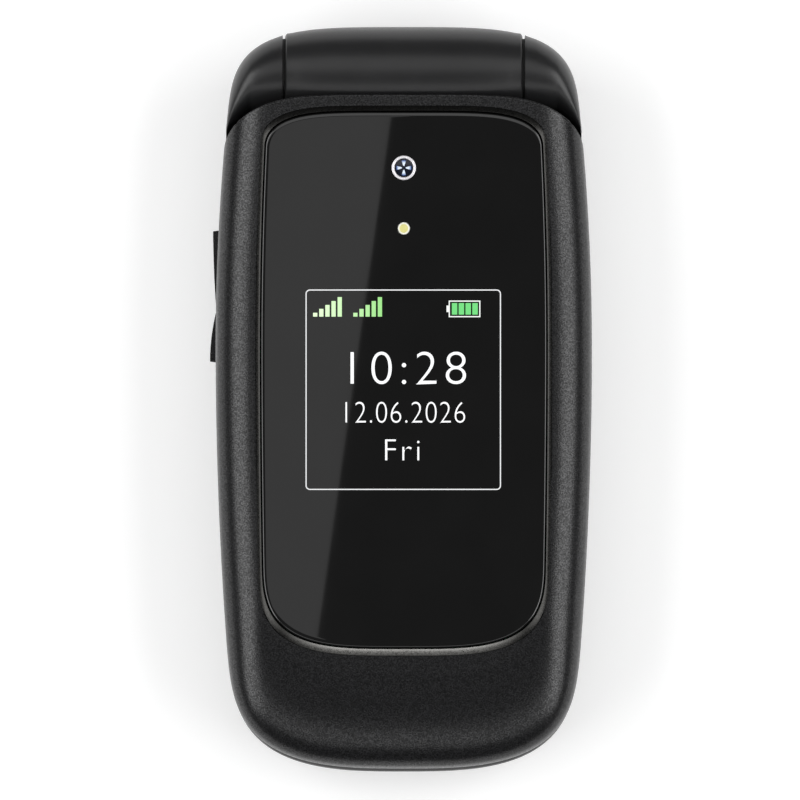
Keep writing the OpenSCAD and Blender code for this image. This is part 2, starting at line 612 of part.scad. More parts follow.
module front_housing() color([0.07, 0.07, 0.08]) difference() {
    union() {
        difference() {
            union() {
                loft(BODY, front_levels);
                for (m = [0, 1]) mirror([m, 0, 0]) knuckle();
            }
            slab(base_seam - 1, face_z) polygon(outline(BODY, wall, wall + 0.2, 15));
        }
        for (p = case_screw_at) drill(p[0], p[1], base_seam + eps, face_z + 0.1, boss_r);
    }
    barrel_form(hinge_gap, hinge_gap);
    for (p = case_screw_at) drill(p[0], p[1], base_seam - 1, case_screw_top + 0.2, thread_r + bore_slack);
    for (i = [0:11]) slab(face_z - 1, base_top + 1) translate(digit_at(i))
        polygon(pad(key_w + 2 * key_gap, key_h + 2 * key_gap));
    for (p = soft_at) slab(face_z - 1, base_top + 1) translate(p)
        polygon(pad(soft_w + 2 * key_gap, soft_h + 2 * key_gap));
    slab(face_z - 1, base_top + 1) translate(nav_at)
        polygon(pad(nav_w + 2 * key_gap, nav_h + 2 * key_gap, 32));
    drill(0, mic_y, face_z - 1, base_top + 1, 0.5);
    box(-body_w, -body_w / 2 + 3, rocker_y0 - 0.3, rocker_y0 + rocker_l + 0.3, rocker_z - 0.3,
        rocker_z + rocker_h + 0.3);
    foot_openings();
    at_hinge(-knuckle_x - knuckle_depth) cylinder(r = pin_r + 0.02, h = knuckle_depth + 1);
    at_hinge(knuckle_x - 1) cylinder(r = hex_r + 0.03, h = knuckle_depth + 1, $fn = 6);
}

module rear_housing() color([0.08, 0.08, 0.085]) difference() {
    union() {
        difference() {
            union() {
                difference() {
                    loft(BODY, base_levels);
                    cover_plan(0.15);
                }
                intersection() {
                    inner_form(0.15);
                    cover_plan(0.15);
                }
            }
            slab(floor_top, base_seam + 1) polygon(outline(BODY, wall + 2.4, wall + 2.4, 15.5));
            slab(cover_lip + 1.1, base_seam + 1) polygon(outline(BODY, wall + 0.2, wall + 0.4, 15));
            bay(bay_wall - eps, -1, base_seam + 1);
        }
        difference() {
            bay(bay_wall, floor_z, bay_roof_z + bay_roof_t);
            bay(0, -1, bay_roof_z);
            slab(bay_roof_z - 1, bay_roof_z + 2) translate([0, sim_y])
                square([sim_w + 0.5, sim_l + 0.5], center = true);
            box(-contact_w / 2 - 0.3, contact_w / 2 + 0.3, batt_y + batt_l / 2 - 1, batt_y + batt_l / 2 + 3,
                floor_top, bay_roof_z + 2);
        }
        intersection() {
            for (p = case_screw_at) drill(p[0], p[1], floor_z, base_seam, tower_r);
            inner_form(0.15);
        }
    }
    for (p = case_screw_at) {
        drill(p[0], p[1], -1, case_ledge_z, head_r + seat);
        drill(p[0], p[1], -1, base_seam + 1, thread_r + seat);
    }
    slab(-1, floor_top + 1) translate([speaker_x, speaker_y]) stadium(speaker_w - 2.5, speaker_d - 3.4);
    slab(floor_z - 0.5, floor_z + 0.4) translate([speaker_x, speaker_y])
        stadium(speaker_w - 0.5, speaker_d - 1.4);
    foot_openings();
    barrel_form(hinge_gap, hinge_gap);
}

slot_pitch = 1.6;
module battery_cover() color([0.12, 0.12, 0.125]) difference() {
    intersection() {
        loft(BODY, base_levels);
        cover_plan(0);
    }
    inner_form(0);
    for (i = [-2:2]) slab(-1, cover_t + 1)
        translate([speaker_x, speaker_y + i * slot_pitch]) stadium(9, slot_pitch / 2);
    translate([-body_w / 2 + 1, cover_y0 + 12, cover_lip + 0.2])
        rotate([0, 90, 0]) cylinder(r = 1.4, h = 3, center = true);
}

module battery() color([0.2, 0.2, 0.22]) {
    slab(floor_z + 0.1, floor_z + 0.1 + batt_t) translate([0, batt_y])
        polygon(pad_corner(batt_w, batt_l, 1.2));
}
// Rectangle with round corners, as a polygon
function pad_corner(w, l, r, n = 4) = [for (q = [0:3]) for (i = [0:n]) let (a = 90 * (q + i / n),
    sx = (q == 0 || q == 3) ? 1 : -1, sy = q < 2 ? 1 : -1)
    [sx * (w / 2 - r) + r * cos(a), sy * (l / 2 - r) + r * sin(a)]];

contact_w = 10;
module battery_contacts() color([0.75, 0.65, 0.3]) {
    y = batt_y + batt_l / 2 + bay_gap + 0.15;
    box(-contact_w / 2, contact_w / 2, y, y + 3, floor_top + 0.1, board_z - eps);
    for (x = [-3.4, 0, 3.4])
        box(x - 0.6, x + 0.6, batt_y + batt_l / 2 + 0.1, y + 0.5, floor_top + 1, floor_top + 2.4);
}

module main_board() color([0.05, 0.33, 0.18]) {
    difference() {
        slab(board_z, board_top) polygon(outline(BODY, wall + 1.75, wall + 1.75, 16));
        for (p = case_screw_at) drill(p[0], p[1], board_z - 1, board_top + 1, boss_r + 0.25);
    }
    slab(board_z - 0.5, board_z) translate([-12, batt_head + 4.7]) square([9, 4], center = true);
    slab(board_z - 0.9, board_z) translate([11, batt_head + 3.6]) square([6, 2.4], center = true);
}

module dome_sheet() color([0.8, 0.8, 0.8]) {
    box(-key_pitch_x - 3.5, key_pitch_x + 3.5, key_foot_y - 4, nav_y + 8.5, board_top, board_top + sheet_t);
    for (p = concat([for (i = [0:11]) digit_at(i)], soft_at, [nav_at], nav_domes))
        translate([p[0], p[1], board_top + sheet_t - eps]) cylinder(r1 = 2, r2 = 1.1, h = dome_h + eps);
}
nav_reach = 6.9;
nav_domes = [for (a = [0:90:270]) [nav_reach * cos(a), nav_y + nav_reach * sin(a)]];

// Rocker: two lobes with a waist between them
rocker_z = face_z - 0.6 - rocker_h;
rocker_waist = 0.4;
function rocker_x(y) = let (t = (y - rocker_y0) / rocker_l, w = rocker_waist)
    side_x(BODY, y, 0) + (t > w ? rocker_out * pow((t - w) / (1 - w), 0.8)
        : rocker_out * (1 - pow(t / w, 2)));
rocker_in = wall + 0.5;
rocker_axis = [body_w / 2 - 0.9, rocker_y0 + rocker_l / 2];   // pins that the rocker tilts on
rocker_flange = 0.4;
module volume_rocker() color([0.1, 0.1, 0.105]) mirror([1, 0, 0]) {
    y1 = rocker_y0 + rocker_l;
    x0 = side_x(BODY, y1, 0) - rocker_in;
    slab(rocker_z, rocker_z + rocker_h) polygon(concat(
        [[x0 - rocker_flange, rocker_y0], [side_x(BODY, rocker_y0, 0.2), rocker_y0]],
        [for (i = [0:16]) let (y = rocker_y0 + 0.15 + (rocker_l - 0.3) * i / 16) [rocker_x(y), y]],
        [[side_x(BODY, y1, 0.2), y1], [x0 - rocker_flange, y1]]));
    slab(rocker_z - 0.65, rocker_z + rocker_h + 0.45) polygon([[x0 - rocker_flange, rocker_y0 - 1],
        [x0, rocker_y0 - 1], [x0, y1 + 1], [x0 - rocker_flange, y1 + 1]]);
    drill(rocker_axis[0], rocker_axis[1], rocker_z - 0.25, rocker_z + rocker_h + 0.25, 0.45);
}

module side_switches() color([0.5, 0.5, 0.5]) for (t = [0.22, 0.78]) {
    y = rocker_y0 + t * rocker_l;
    x = -side_x(BODY, rocker_y0 + rocker_l, 0) + rocker_in + rocker_flange + 0.3;
    box(x + 0.3, x + 1.5, y - 1.8, y + 1.8, board_z - 1.2, board_z - eps);
    box(x, x + 0.4, y - 0.8, y + 0.8, board_z - 0.9, board_z - 0.3);
}

module usb_socket() color([0.75, 0.75, 0.76]) difference() {
    box(usb_x - usb_w / 2, usb_x + usb_w / 2, 1 - foot_len, 6.6 - foot_len, board_z - 2.7, board_z - eps);
    difference() {
        box(usb_x - usb_w / 2 + 0.35, usb_x + usb_w / 2 - 0.35, -foot_len, 5.8 - foot_len,
            board_z - 2.35, board_z - 0.45);
        box(usb_x - usb_w / 2 + 1.4, usb_x + usb_w / 2 - 1.4, 1.6 - foot_len, 6 - foot_len,
            board_z - 1.25, board_z - 0.65);
    }
}

jack_face = -foot_len + 1.1;
jack_nose = 3.9;
module headset_jack() color([0.12, 0.12, 0.13]) difference() {
    union() {
        box(jack_x - 3, jack_x + 3, jack_face + jack_nose, jack_face + jack_depth + 1,
            socket_z - 2.25, board_z - eps);
        translate([jack_x, jack_face, socket_z]) rotate([-90, 0, 0])
            cylinder(r = jack_r + 0.45, h = jack_nose + 1);
    }
    translate([jack_x, jack_face - 1, socket_z]) rotate([-90, 0, 0]) cylinder(r = jack_r, h = jack_depth + 1);
}

// The loudspeaker fills the room between the battery's contacts and the hinge end
speaker_x = 8.5;
speaker_foot = batt_head + 4.4;
speaker_head = head_len - 16.9;
speaker_y = (speaker_foot + speaker_head) / 2;
speaker_d = speaker_head - speaker_foot;
speaker_w = 15;
module loudspeaker() color([0.2, 0.2, 0.21]) slab(floor_top + eps, floor_top + 3.2)
    translate([speaker_x, speaker_y]) stadium(speaker_w, speaker_d);

module speaker_mesh() color([0.4, 0.4, 0.4]) slab(floor_z + 0.05, floor_z + 0.35)
    translate([speaker_x, speaker_y]) stadium(speaker_w - 0.8, speaker_d - 1.7);

sim_w = 28;
sim_l = 17;
sim_y = batt_y - 2;
module sim_holder() color([0.7, 0.7, 0.7]) difference() {
    slab(bay_roof_z - 0.35, board_z - eps) translate([0, sim_y]) square([sim_w, sim_l], center = true);
    for (s = [-1, 1]) slab(bay_roof_z - 0.1, bay_roof_z + 0.75) translate([s * sim_w / 4, sim_y - 1])
        square([12.2, sim_l], center = true);
}

motor_x = 12.5 - body_w / 2;
module vibration_motor() color([0.7, 0.7, 0.72]) {
    translate([motor_x, speaker_y, floor_top + 2.1]) rotate([0, 90, 0]) cylinder(r = 2, h = 8.6);
    translate([motor_x - 2.8, speaker_y, floor_top + 2.1]) rotate([0, 90, 0]) difference() {
        cylinder(r = 1.9, h = 2.9);
        translate([0.3, -3, -1]) cube([6, 6, 3.4]);
    }
}

module microphone() color([0.7, 0.68, 0.6]) drill(0, mic_y, board_top, face_z - 0.1, 1.4);

module case_screws() color([0.5, 0.5, 0.5]) for (p = case_screw_at) difference() {
    union() {
        drill(p[0], p[1], case_head_z, case_ledge_z - eps, head_r);
        drill(p[0], p[1], case_head_z, case_screw_top, thread_r);
    }
    for (a = [0, 90]) translate([p[0], p[1], case_head_z]) rotate(a) cube([1.6, 0.35, 0.8], center = true);
}

/* ---- keys ---- */

// Key cap with a soft edge, a flange that holds it in and a foot over its dome
module key_form(p, w, h) translate([p[0], p[1], 0]) {
    skin([raise(pad(w, h), key_foot_z + 0.1), raise(pad(w, h), key_top - 0.35),
        raise(pad(w - 0.35, h - 0.35), key_top - 0.1), raise(pad(w - 1.1, h - 1.1), key_top)]);
    slab(key_foot_z + 0.1, face_z - 0.3) polygon(pad(w + 2 * flange, h + 2 * flange));
    cylinder_foot(0, 0);
}
module cylinder_foot(x, y) drill(x, y, key_foot_z, key_foot_z + 0.3, 1.2);

module digit_key(i) color([0.16, 0.16, 0.17]) key_form(digit_at(i), key_w, key_h);
module soft_key(i, c) color(c) key_form(soft_at[i], soft_w, soft_h);

module nav_ring() color([0.6, 0.6, 0.62]) translate([0, nav_y, 0]) {
    z0 = key_foot_z + 0.1;
    difference() {
        union() {
            skin([raise(pad(nav_w, nav_h, 32), z0), raise(pad(nav_w, nav_h, 32), key_top - 0.35),
                raise(pad(nav_w - 0.5, nav_h - 0.5, 32), key_top - 0.1),
                raise(pad(nav_w - 1.6, nav_h - 1.6, 32), key_top)]);
            slab(z0, face_z - 0.3) polygon(pad(nav_w + 2 * flange, nav_h + 2 * flange, 32));
        }
        slab(z0 - 1, key_top + 1) square(2 * (ok_r + ok_gap), center = true);
        for (a = [45, 135]) rotate(a) slab(z0 - 1, key_top + 1) square([2 * nav_w, nav_slit], center = true);
    }
    for (p = nav_domes) cylinder_foot(p[0], p[1] - nav_y);
}

// Centre key: a square pad with rounded corners in the flat-sided opening of the four-way pad.
ok_gap = 0.5;
nav_slit = 0.3;
function ok_pad(inset, z) = raise(pad_corner(2 * (ok_r - inset), 2 * (ok_r - inset), 1.2 - inset), z);
module ok_key() color([0.5, 0.5, 0.52]) translate([0, nav_y, 0])
    skin([ok_pad(0, key_foot_z), ok_pad(0, key_top - 0.35), ok_pad(0.12, key_top - 0.1),
        ok_pad(0.4, key_top)]);

lid_cover();
lens_trim();
lid_lens();
outer_display();
camera_ring();
camera_lens();
camera_module();
flash_led();
lid_inner_frame();
inner_lens();
inner_display();
earpiece();
earpiece_mesh();
lid_board();
lid_magnet();
lid_bumpers();
lid_screws();
hinge_cartridge();
hinge_flex();
front_housing();
rear_housing();
battery_cover();
battery();
battery_contacts();
main_board();
dome_sheet();
side_switches();
volume_rocker();
usb_socket();
headset_jack();
loudspeaker();
speaker_mesh();
sim_holder();
vibration_motor();
microphone();
case_screws();
hinge_cam_shaft();
hinge_pin();
digit_key(0);  // key_1
digit_key(1);  // key_2
digit_key(2);  // key_3
digit_key(3);  // key_4
digit_key(4);  // key_5
digit_key(5);  // key_6
digit_key(6);  // key_7
digit_key(7);  // key_8
digit_key(8);  // key_9
digit_key(9);  // key_star
digit_key(10);  // key_0
digit_key(11);  // key_hash
nav_ring();
ok_key();
soft_key(0, [0.16, 0.16, 0.17]);  // soft_left_key
soft_key(1, [0.16, 0.16, 0.17]);  // soft_right_key
soft_key(2, [0.1, 0.45, 0.18]);  // call_key
soft_key(3, [0.6, 0.1, 0.1]);  // end_key
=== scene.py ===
import json
import math
from functools import cache

import bpy
import numpy as np
from bpy.props import FloatProperty, FloatVectorProperty
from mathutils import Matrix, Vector


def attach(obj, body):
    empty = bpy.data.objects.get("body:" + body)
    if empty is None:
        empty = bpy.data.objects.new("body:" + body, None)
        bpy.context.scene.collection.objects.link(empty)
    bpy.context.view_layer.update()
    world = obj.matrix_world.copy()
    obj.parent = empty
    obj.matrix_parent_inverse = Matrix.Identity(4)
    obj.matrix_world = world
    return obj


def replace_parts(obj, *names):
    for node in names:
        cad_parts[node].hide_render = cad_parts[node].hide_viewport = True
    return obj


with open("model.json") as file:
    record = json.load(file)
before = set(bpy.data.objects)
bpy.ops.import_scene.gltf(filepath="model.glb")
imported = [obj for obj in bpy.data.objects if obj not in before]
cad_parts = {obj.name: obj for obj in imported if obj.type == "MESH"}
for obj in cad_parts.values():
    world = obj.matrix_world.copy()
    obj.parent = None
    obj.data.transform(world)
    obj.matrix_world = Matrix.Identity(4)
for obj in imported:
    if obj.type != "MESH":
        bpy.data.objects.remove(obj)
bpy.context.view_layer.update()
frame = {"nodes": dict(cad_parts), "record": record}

bl_info = {
    "name": "Flip phone finish",
    "version": (1, 0, 0),
    "blender": (4, 5, 0),
    "location": "View3D > Sidebar > Phone",
    "description": "Puts fine shells, screens, legends and finishes on a closed flip phone",
    "category": "Object",
}

# Levels over the back and places of the hinge, in millimetres, as the solids have them
BASE_TOP = 10.2
BASE_SEAM = 5.6
FACE_Z = 9.2
LID_Z = 10.5
FRAME_TOP = 12.15
COVER_Z = 12.2
CLOSED_T = 19.0
CROWN_Z = 18.55
LEDGE_Z = 17.2
LENS_Z = 17.8
KEY_TOP = 10.45
HINGE_Y = 46.0
HINGE_Z = 12.0
BARREL_X = 16.7
KNUCKLE_X = 17.05
HINGE_GAP = 0.35

# Half width, widest place, foot, head, bow at foot and head, then length and two exponents
# of the foot end and of the head end
BODY = (26.5, 7.0, -52.6, 52.5, 3.2, 3.1, (20.0, 4.0, 3.0), (14.0, 4.0, 3.75))
LENS = (20.2, 8.0, -35.0, 40.5, 0.5, 0.9, (12.0, 3.0, 3.7), (5.0, 2.2, 5.0))
TRIM_W = 0.95
LENS_GROW = (-TRIM_W * 0.6 - 0.05, -TRIM_W - 0.05, -0.75)  # side, foot and head of the cover's opening
CAM_Y = 32.5
CAM_RING_R = 1.72
FLASH_Y = 24.0
FLASH_R = 0.85
# Height, side inset, foot inset and head inset of the cover's rings
COVER_LEVELS = ((COVER_Z, 0.1, 0.75, 0), (COVER_Z + 1.4, 0, 0.65, 0), (CLOSED_T - 4.1, 0.25, 0.95, 0),
                (CLOSED_T - 3, 0.8, 1.7, 0), (CLOSED_T - 2.1, 1.6, 3, 0), (CLOSED_T - 1.4, 2.6, 5, 0),
                (CLOSED_T - 0.9, 3.7, 7.5, 0), (CLOSED_T - 0.6, 4.7, 10.5, 0), (CROWN_Z, 5.5, 14, 0))
# The cover's arched end: its foot line, half width, rise and two exponents, and its round edge
ARCH_FOOT, ARCH_A, ARCH_RISE, ARCH_M, ARCH_N, ARCH_EDGE = 35.6, 25.3, 7.3, 5, 0.72, 0.3
PRINT = 0.04  # thickness of legends and screen signs


# ---- forms

def side_x(S, y, inset):
    """Half width at y: the widest half width, less the bow, which grows with the square of
    the distance from the widest place to the foot or to the head."""
    up = S[5] * ((y - S[1]) / (S[3] - S[1])) ** 2
    down = S[4] * ((S[1] - y) / (S[1] - S[2])) ** 2
    return S[0] - inset - np.where(y > S[1], up, down)


def outline_at(S, p, side, foot, head):
    """Right half of an outline, from the middle of the foot at p = 0 to the middle of the head
    at p = 1: a corner |x/a|^m + |y/b|^n = 1 up to p = 0.4, a bowed side up to p = 0.7, and a
    corner of its own exponents from there on."""
    fc, hc = S[6][0] - 0.4 * foot, S[7][0] - 0.4 * head
    yf, yh = S[2] + foot + fc, S[3] - head - hc
    af = np.radians(90) * np.clip(1 - p / 0.4, 0, 1)
    ah = np.radians(90) * np.clip((p - 0.7) / 0.3, 0, 1)
    y = np.where(p < 0.4, yf - fc * np.sin(af) ** (2 / S[6][1]),
                 np.where(p > 0.7, yh + hc * np.sin(ah) ** (2 / S[7][1]),
                          yf + (yh - yf) * np.clip((p - 0.4) / 0.3, 0, 1)))
    x = side_x(S, y, side) * np.where(p < 0.4, np.cos(af) ** (2 / S[6][2]),
                                      np.where(p > 0.7, np.cos(ah) ** (2 / S[7][2]), 1.0))
    return np.where((p <= 0) | (p >= 1), 0.0, x), y


def ring_params(n):
    """Steps along a half outline, closer together in its corners."""
    corner = (1 - np.cos(np.linspace(0, np.pi, n))) / 2
    return np.concatenate([0.4 * corner, 0.4 + 0.3 * np.linspace(0, 1, n // 2)[1:], 0.7 + 0.3 * corner[1:]])


def closed_rings(S, levels, n=48):
    """Rings round an outline, one for each level (height, side inset, foot inset, head inset)."""
    lv = np.asarray(levels, float)
    x, y = outline_at(S, ring_params(n)[None, :], lv[:, 1:2], lv[:, 2:3], lv[:, 3:4])
    x = np.concatenate([x, -x[:, -2:0:-1]], axis=1)
    y = np.concatenate([y, y[:, -2:0:-1]], axis=1)
    return np.stack([x, y, np.broadcast_to(lv[:, :1], x.shape)], axis=-1)


def smooth_levels(levels, n):
    """A curve through the levels that rises and falls only where they do: cubic pieces whose
    slopes are the harmonic means of the slopes on both sides."""
    v = np.asarray(levels, float)
    t = np.concatenate([[0], np.cumsum(np.hypot(np.diff(v[:, 0]), np.diff(v[:, 1])) + 1e-6)])
    d = np.diff(v, axis=0) / np.diff(t)[:, None]
    a, b = d[:-1], d[1:]
    mid = np.where(a * b > 0, 2 * a * b / np.where(np.abs(a + b) < 1e-12, 1, a + b), 0)
    m = np.concatenate([d[:1], mid, d[-1:]])
    s = np.linspace(0, t[-1], n)
    k = np.clip(np.searchsorted(t, s, side="right") - 1, 0, len(t) - 2)
    h = (t[k + 1] - t[k])[:, None]
    u = ((s - t[k]) / h[:, 0])[:, None]
    return ((2 * u ** 3 - 3 * u ** 2 + 1) * v[k] + (u ** 3 - 2 * u ** 2 + u) * h * m[k]
            + (3 * u ** 2 - 2 * u ** 3) * v[k + 1] + (u ** 3 - u ** 2) * h * m[k + 1])


def arch_y(x):
    """Upper end of the lid cover: a foot line and a rise of (1 - |x/a|^m)^n over it."""
    return ARCH_FOOT + ARCH_RISE * np.maximum(0, 1 - (np.abs(x) / ARCH_A) ** ARCH_M) ** ARCH_N


def grid_faces(rows, cols, closed=False):
    """Quads of a grid of rows by columns; a closed grid joins its last column to its first."""
    i = np.arange(rows - 1)[:, None]
    j = np.arange(cols if closed else cols - 1)[None, :]
    k = (j + 1) % cols
    return np.stack([i * cols + j, i * cols + k, (i + 1) * cols + k, (i + 1) * cols + j], -1).reshape(-1, 4)


def merge(sets):
    """Several sets of points and quads as one."""
    starts = np.cumsum([0] + [len(p) for p, _ in sets])
    return np.concatenate([p for p, _ in sets]), np.concatenate([f + at for (_, f), at in zip(sets, starts)])


def piece(name, parts, sharp=35):
    """One mesh from grids of points in millimetres, each with a flag that says whether its
    columns close. Points that fall together are welded, and quads that lose a corner become
    triangles."""
    grids = [(np.asarray(grid, float), closed) for grid, closed in parts]
    points, faces = merge([(g.reshape(-1, 3), grid_faces(*g.shape[:2], closed)) for g, closed in grids])
    _, first, same = np.unique(np.round(points, 4), axis=0, return_index=True, return_inverse=True)
    return mesh_object(name, points[first], same.reshape(-1)[faces], sharp)


def placed(name, data):
    """A new object in the scene, at the origin."""
    obj = bpy.data.objects.new(name, data)
    bpy.context.scene.collection.objects.link(obj)
    return obj


def baked(obj):
    """The mesh that an object shows, with its modifiers applied."""
    bpy.context.view_layer.update()
    return bpy.data.meshes.new_from_object(obj.evaluated_get(bpy.context.evaluated_depsgraph_get()))


def mesh_object(name, points, faces, sharp=35):
    """Puts points in millimetres and quads into a new object."""
    twin = faces == np.roll(faces, -1, axis=1)
    faces, twin = faces[twin.sum(1) < 2], twin[twin.sum(1) < 2]
    count = 4 - twin.sum(1)
    loops = faces[~twin]
    starts = np.cumsum(count) - count
    mesh = bpy.data.meshes.new(name)
    mesh.vertices.add(len(points))
    mesh.vertices.foreach_set("co", (points * 0.001).astype(np.float32).ravel())
    mesh.loops.add(len(loops))
    mesh.loops.foreach_set("vertex_index", loops.astype(np.int32))
    mesh.polygons.add(len(count))
    mesh.polygons.foreach_set("loop_start", starts.astype(np.int32))
    mesh.update(calc_edges=True)
    mesh.validate()
    mesh.shade_smooth()
    mesh.set_sharp_from_angle(angle=math.radians(sharp))
    return placed(name, mesh)


def solid(name, rings):
    """A closed solid through a stack of closed rings of equal length, capped flat at both ends;
    each ring runs anticlockwise seen from the last one."""
    rings = np.asarray(rings, float)
    rows, n = rings.shape[:2]
    last = (rows - 1) * n
    faces = grid_faces(rows, n, True).tolist() + [list(range(n))[::-1], list(range(last, last + n))]
    mesh = bpy.data.meshes.new(name)
    mesh.from_pydata((rings.reshape(-1, 3) * 0.001).tolist(), [], faces)
    mesh.update()
    return placed(name, mesh)


def prism(ring, z0, z1):
    """A flat ring of points raised from z0 to z1."""
    ring = np.asarray(ring, float)
    up = np.ones((len(ring), 1))
    return solid("cut", [np.hstack([ring, up * z0]), np.hstack([ring, up * z1])])


def loft(S, levels, n=40, steps=0):
    """A solid through an outline's rings at the given levels, smoothed over steps if asked."""
    return solid("form", closed_rings(S, smooth_levels(levels, steps) if steps else levels, n))


def block(x0, x1, y0, y1, z0, z1):
    return prism([(x0, y0), (x1, y0), (x1, y1), (x0, y1)], z0, z1)


def pad(w, h, at=(0, 0), n=64):
    """Rounded rectangle |2x/w|^4 + |2y/h|^4 = 1."""
    a = 2 * np.pi * np.arange(n) / n
    c, s = np.cos(a), np.sin(a)
    x, y = w / 2 * np.sign(c) * np.abs(c) ** 0.5, h / 2 * np.sign(s) * np.abs(s) ** 0.5
    return np.stack([at[0] + x, at[1] + y], 1)


def round_rect(x0, y0, x1, y1, r, n=8):
    """Rectangle with round corners."""
    a = np.radians(90) * np.linspace(0, 1, n)
    corners = [(x1 - r, y1 - r), (x0 + r, y1 - r), (x0 + r, y0 + r), (x1 - r, y0 + r)]
    turns = [a + k * np.radians(90) for k in range(4)]
    return np.concatenate([np.stack([x + r * np.cos(t), y + r * np.sin(t)], 1)
                           for (x, y), t in zip(corners, turns)])


def band(outer, inner, z):
    """Rings of a thin flat band between two outlines."""
    return np.stack([np.hstack([line, np.full((len(line), 1), h)]) for line, h in
                     ((outer, z), (outer, z + PRINT), (inner, z + PRINT), (inner, z), (outer, z))])


def slot_ring(w, h, at=(0, 0), n=20):
    """Slot with round ends."""
    a = np.linspace(-np.pi / 2, np.pi / 2, n)
    half = np.stack([(w - h) / 2 + h / 2 * np.cos(a), h / 2 * np.sin(a)], 1)
    return np.concatenate([half, -half]) + at


def rod(x, y, z0, z1, r, n=40):
    return prism(slot_ring(2 * r, 2 * r - 1e-6, (x, y), n // 2), z0, z1)


def turned(profile, n=96):
    """A solid turned round the hinge axis from (radius, x) pairs, first and last on the axis."""
    r, x = np.asarray(profile, float).T
    a = -2 * np.pi * np.arange(n) / n
    ring = np.stack([np.broadcast_to(x[:, None], (len(x), n)), HINGE_Y + r[:, None] * np.cos(a),
                     HINGE_Z + r[:, None] * np.sin(a)], -1)
    return solid("turned", ring[1:-1])


def circle_x(n, side):
    """Unit circle across the hinge axis, turning the other way round on the left."""
    a = side * 2 * np.pi * np.arange(n) / n
    return np.stack([np.zeros(n), np.cos(a), np.sin(a)], 1)


def carve(obj, cutters, mode="DIFFERENCE"):
    """Joins, cuts or keeps a solid by others, one after the other. The others go with their meshes."""
    for c in cutters:
        mod = obj.modifiers.new("carve", "BOOLEAN")
        mod.operation, mod.solver, mod.object = mode, "EXACT", c
    mesh, used = baked(obj), [obj.data] + [c.data for c in cutters]
    obj.modifiers.clear()
    obj.data = mesh
    for old in used:
        bpy.data.meshes.remove(old)
    return obj


def named(obj, name, sharp=30):
    """Gives a carved solid its name and smooth shading up to an angle."""
    obj.name = obj.data.name = name
    obj.data.shade_smooth()
    obj.data.set_sharp_from_angle(angle=math.radians(sharp))
    return obj


# ---- finishes

def feed(nt, node, **inputs):
    """Feeds a node's inputs, named with _ for each space, with values or from sockets."""
    for key, value in inputs.items():
        socket = node.inputs[key.replace("_", " ")]
        if isinstance(value, bpy.types.NodeSocket):
            nt.links.new(value, socket)
        else:
            socket.default_value = value
    return node


def new_node(nt, kind, operation=None, **inputs):
    """A shader node of a kind, with its operation and its inputs."""
    node = nt.nodes.new("ShaderNode" + kind)
    if operation:
        node.operation = operation
    return feed(nt, node, **inputs)


def parts_of(mat):
    """The tree, the Principled shader and the Object coordinates of a finish."""
    nt = mat.node_tree
    return nt, nt.nodes["Principled BSDF"], nt.nodes["Texture Coordinate"].outputs["Object"]


def new_finish(name):
    """An empty node material with a Principled shader and Object coordinates."""
    mat = bpy.data.materials.new(name)
    mat.use_nodes = True
    nt = mat.node_tree
    nt.nodes.clear()
    bsdf = new_node(nt, "BsdfPrincipled")
    feed(nt, new_node(nt, "OutputMaterial"), Surface=bsdf.outputs[0])
    new_node(nt, "TexCoord")
    return mat, *parts_of(mat)


def noise(nt, vector, size_mm, detail=2.0, stretch=None):
    """Noise whose features are about size_mm across, stretched by a Mapping node if asked."""
    if stretch:
        vector = new_node(nt, "Mapping", Scale=stretch, Vector=vector).outputs[0]
    return new_node(nt, "TexNoise", Scale=1000.0 / size_mm, Detail=detail, Vector=vector).outputs["Fac"]


def ranged(nt, value, low, high, a=0.3, b=0.7):
    """Maps a value from the range a..b to low..high."""
    return new_node(nt, "MapRange", Value=value, From_Min=a, From_Max=b, To_Min=low, To_Max=high).outputs[0]


def calc(nt, operation, a, b=0.0):
    """One Math node on two values, each a socket or a number."""
    node = new_node(nt, "Math", operation)
    for socket, value in zip(node.inputs, (a, b)):
        if isinstance(value, float):
            socket.default_value = value
        else:
            nt.links.new(value, socket)
    return node.outputs[0]


def tinted(nt, fac, low, high, blend="MIX"):
    """Mixes two colours by a factor; each is a socket or three numbers."""
    node = nt.nodes.new("ShaderNodeMix")
    node.data_type, node.blend_type = "RGBA", blend
    a, b = (c if isinstance(c, bpy.types.NodeSocket) else (*c, 1) for c in (low, high))
    return feed(nt, node, Factor=fac, A=a, B=b).outputs["Result"]


def bumped(nt, bsdf, height, depth_mm, strength=1.0):
    """Feeds a height to the shader's normal."""
    bump = new_node(nt, "Bump", Strength=strength, Distance=depth_mm * 0.001, Height=height)
    feed(nt, bsdf, Normal=bump.outputs[0])


def moulded(name, colour, rough, grain=0.3, depth=0.01, mottle=0.12, spread=0.05, coat=0.0, metal=0.0,
            specular=0.5):
    """Moulded or painted surface: fine grain in the height, slow mottling in the colour and
    a little spread in the roughness."""
    mat, nt, bsdf, pos = new_finish(name)
    fine = noise(nt, pos, grain, 3)
    slow = ranged(nt, noise(nt, pos, grain * 14, 2), 0, 1)
    c = np.array(colour)
    feed(nt, bsdf, Base_Color=tinted(nt, slow, c * (1 - mottle), np.minimum(c * (1 + mottle), 1)),
         Roughness=ranged(nt, fine, rough - spread, rough + spread), Metallic=metal,
         Specular_IOR_Level=specular, Coat_Weight=coat, Coat_Roughness=0.05)
    bumped(nt, bsdf, fine, depth)
    return mat


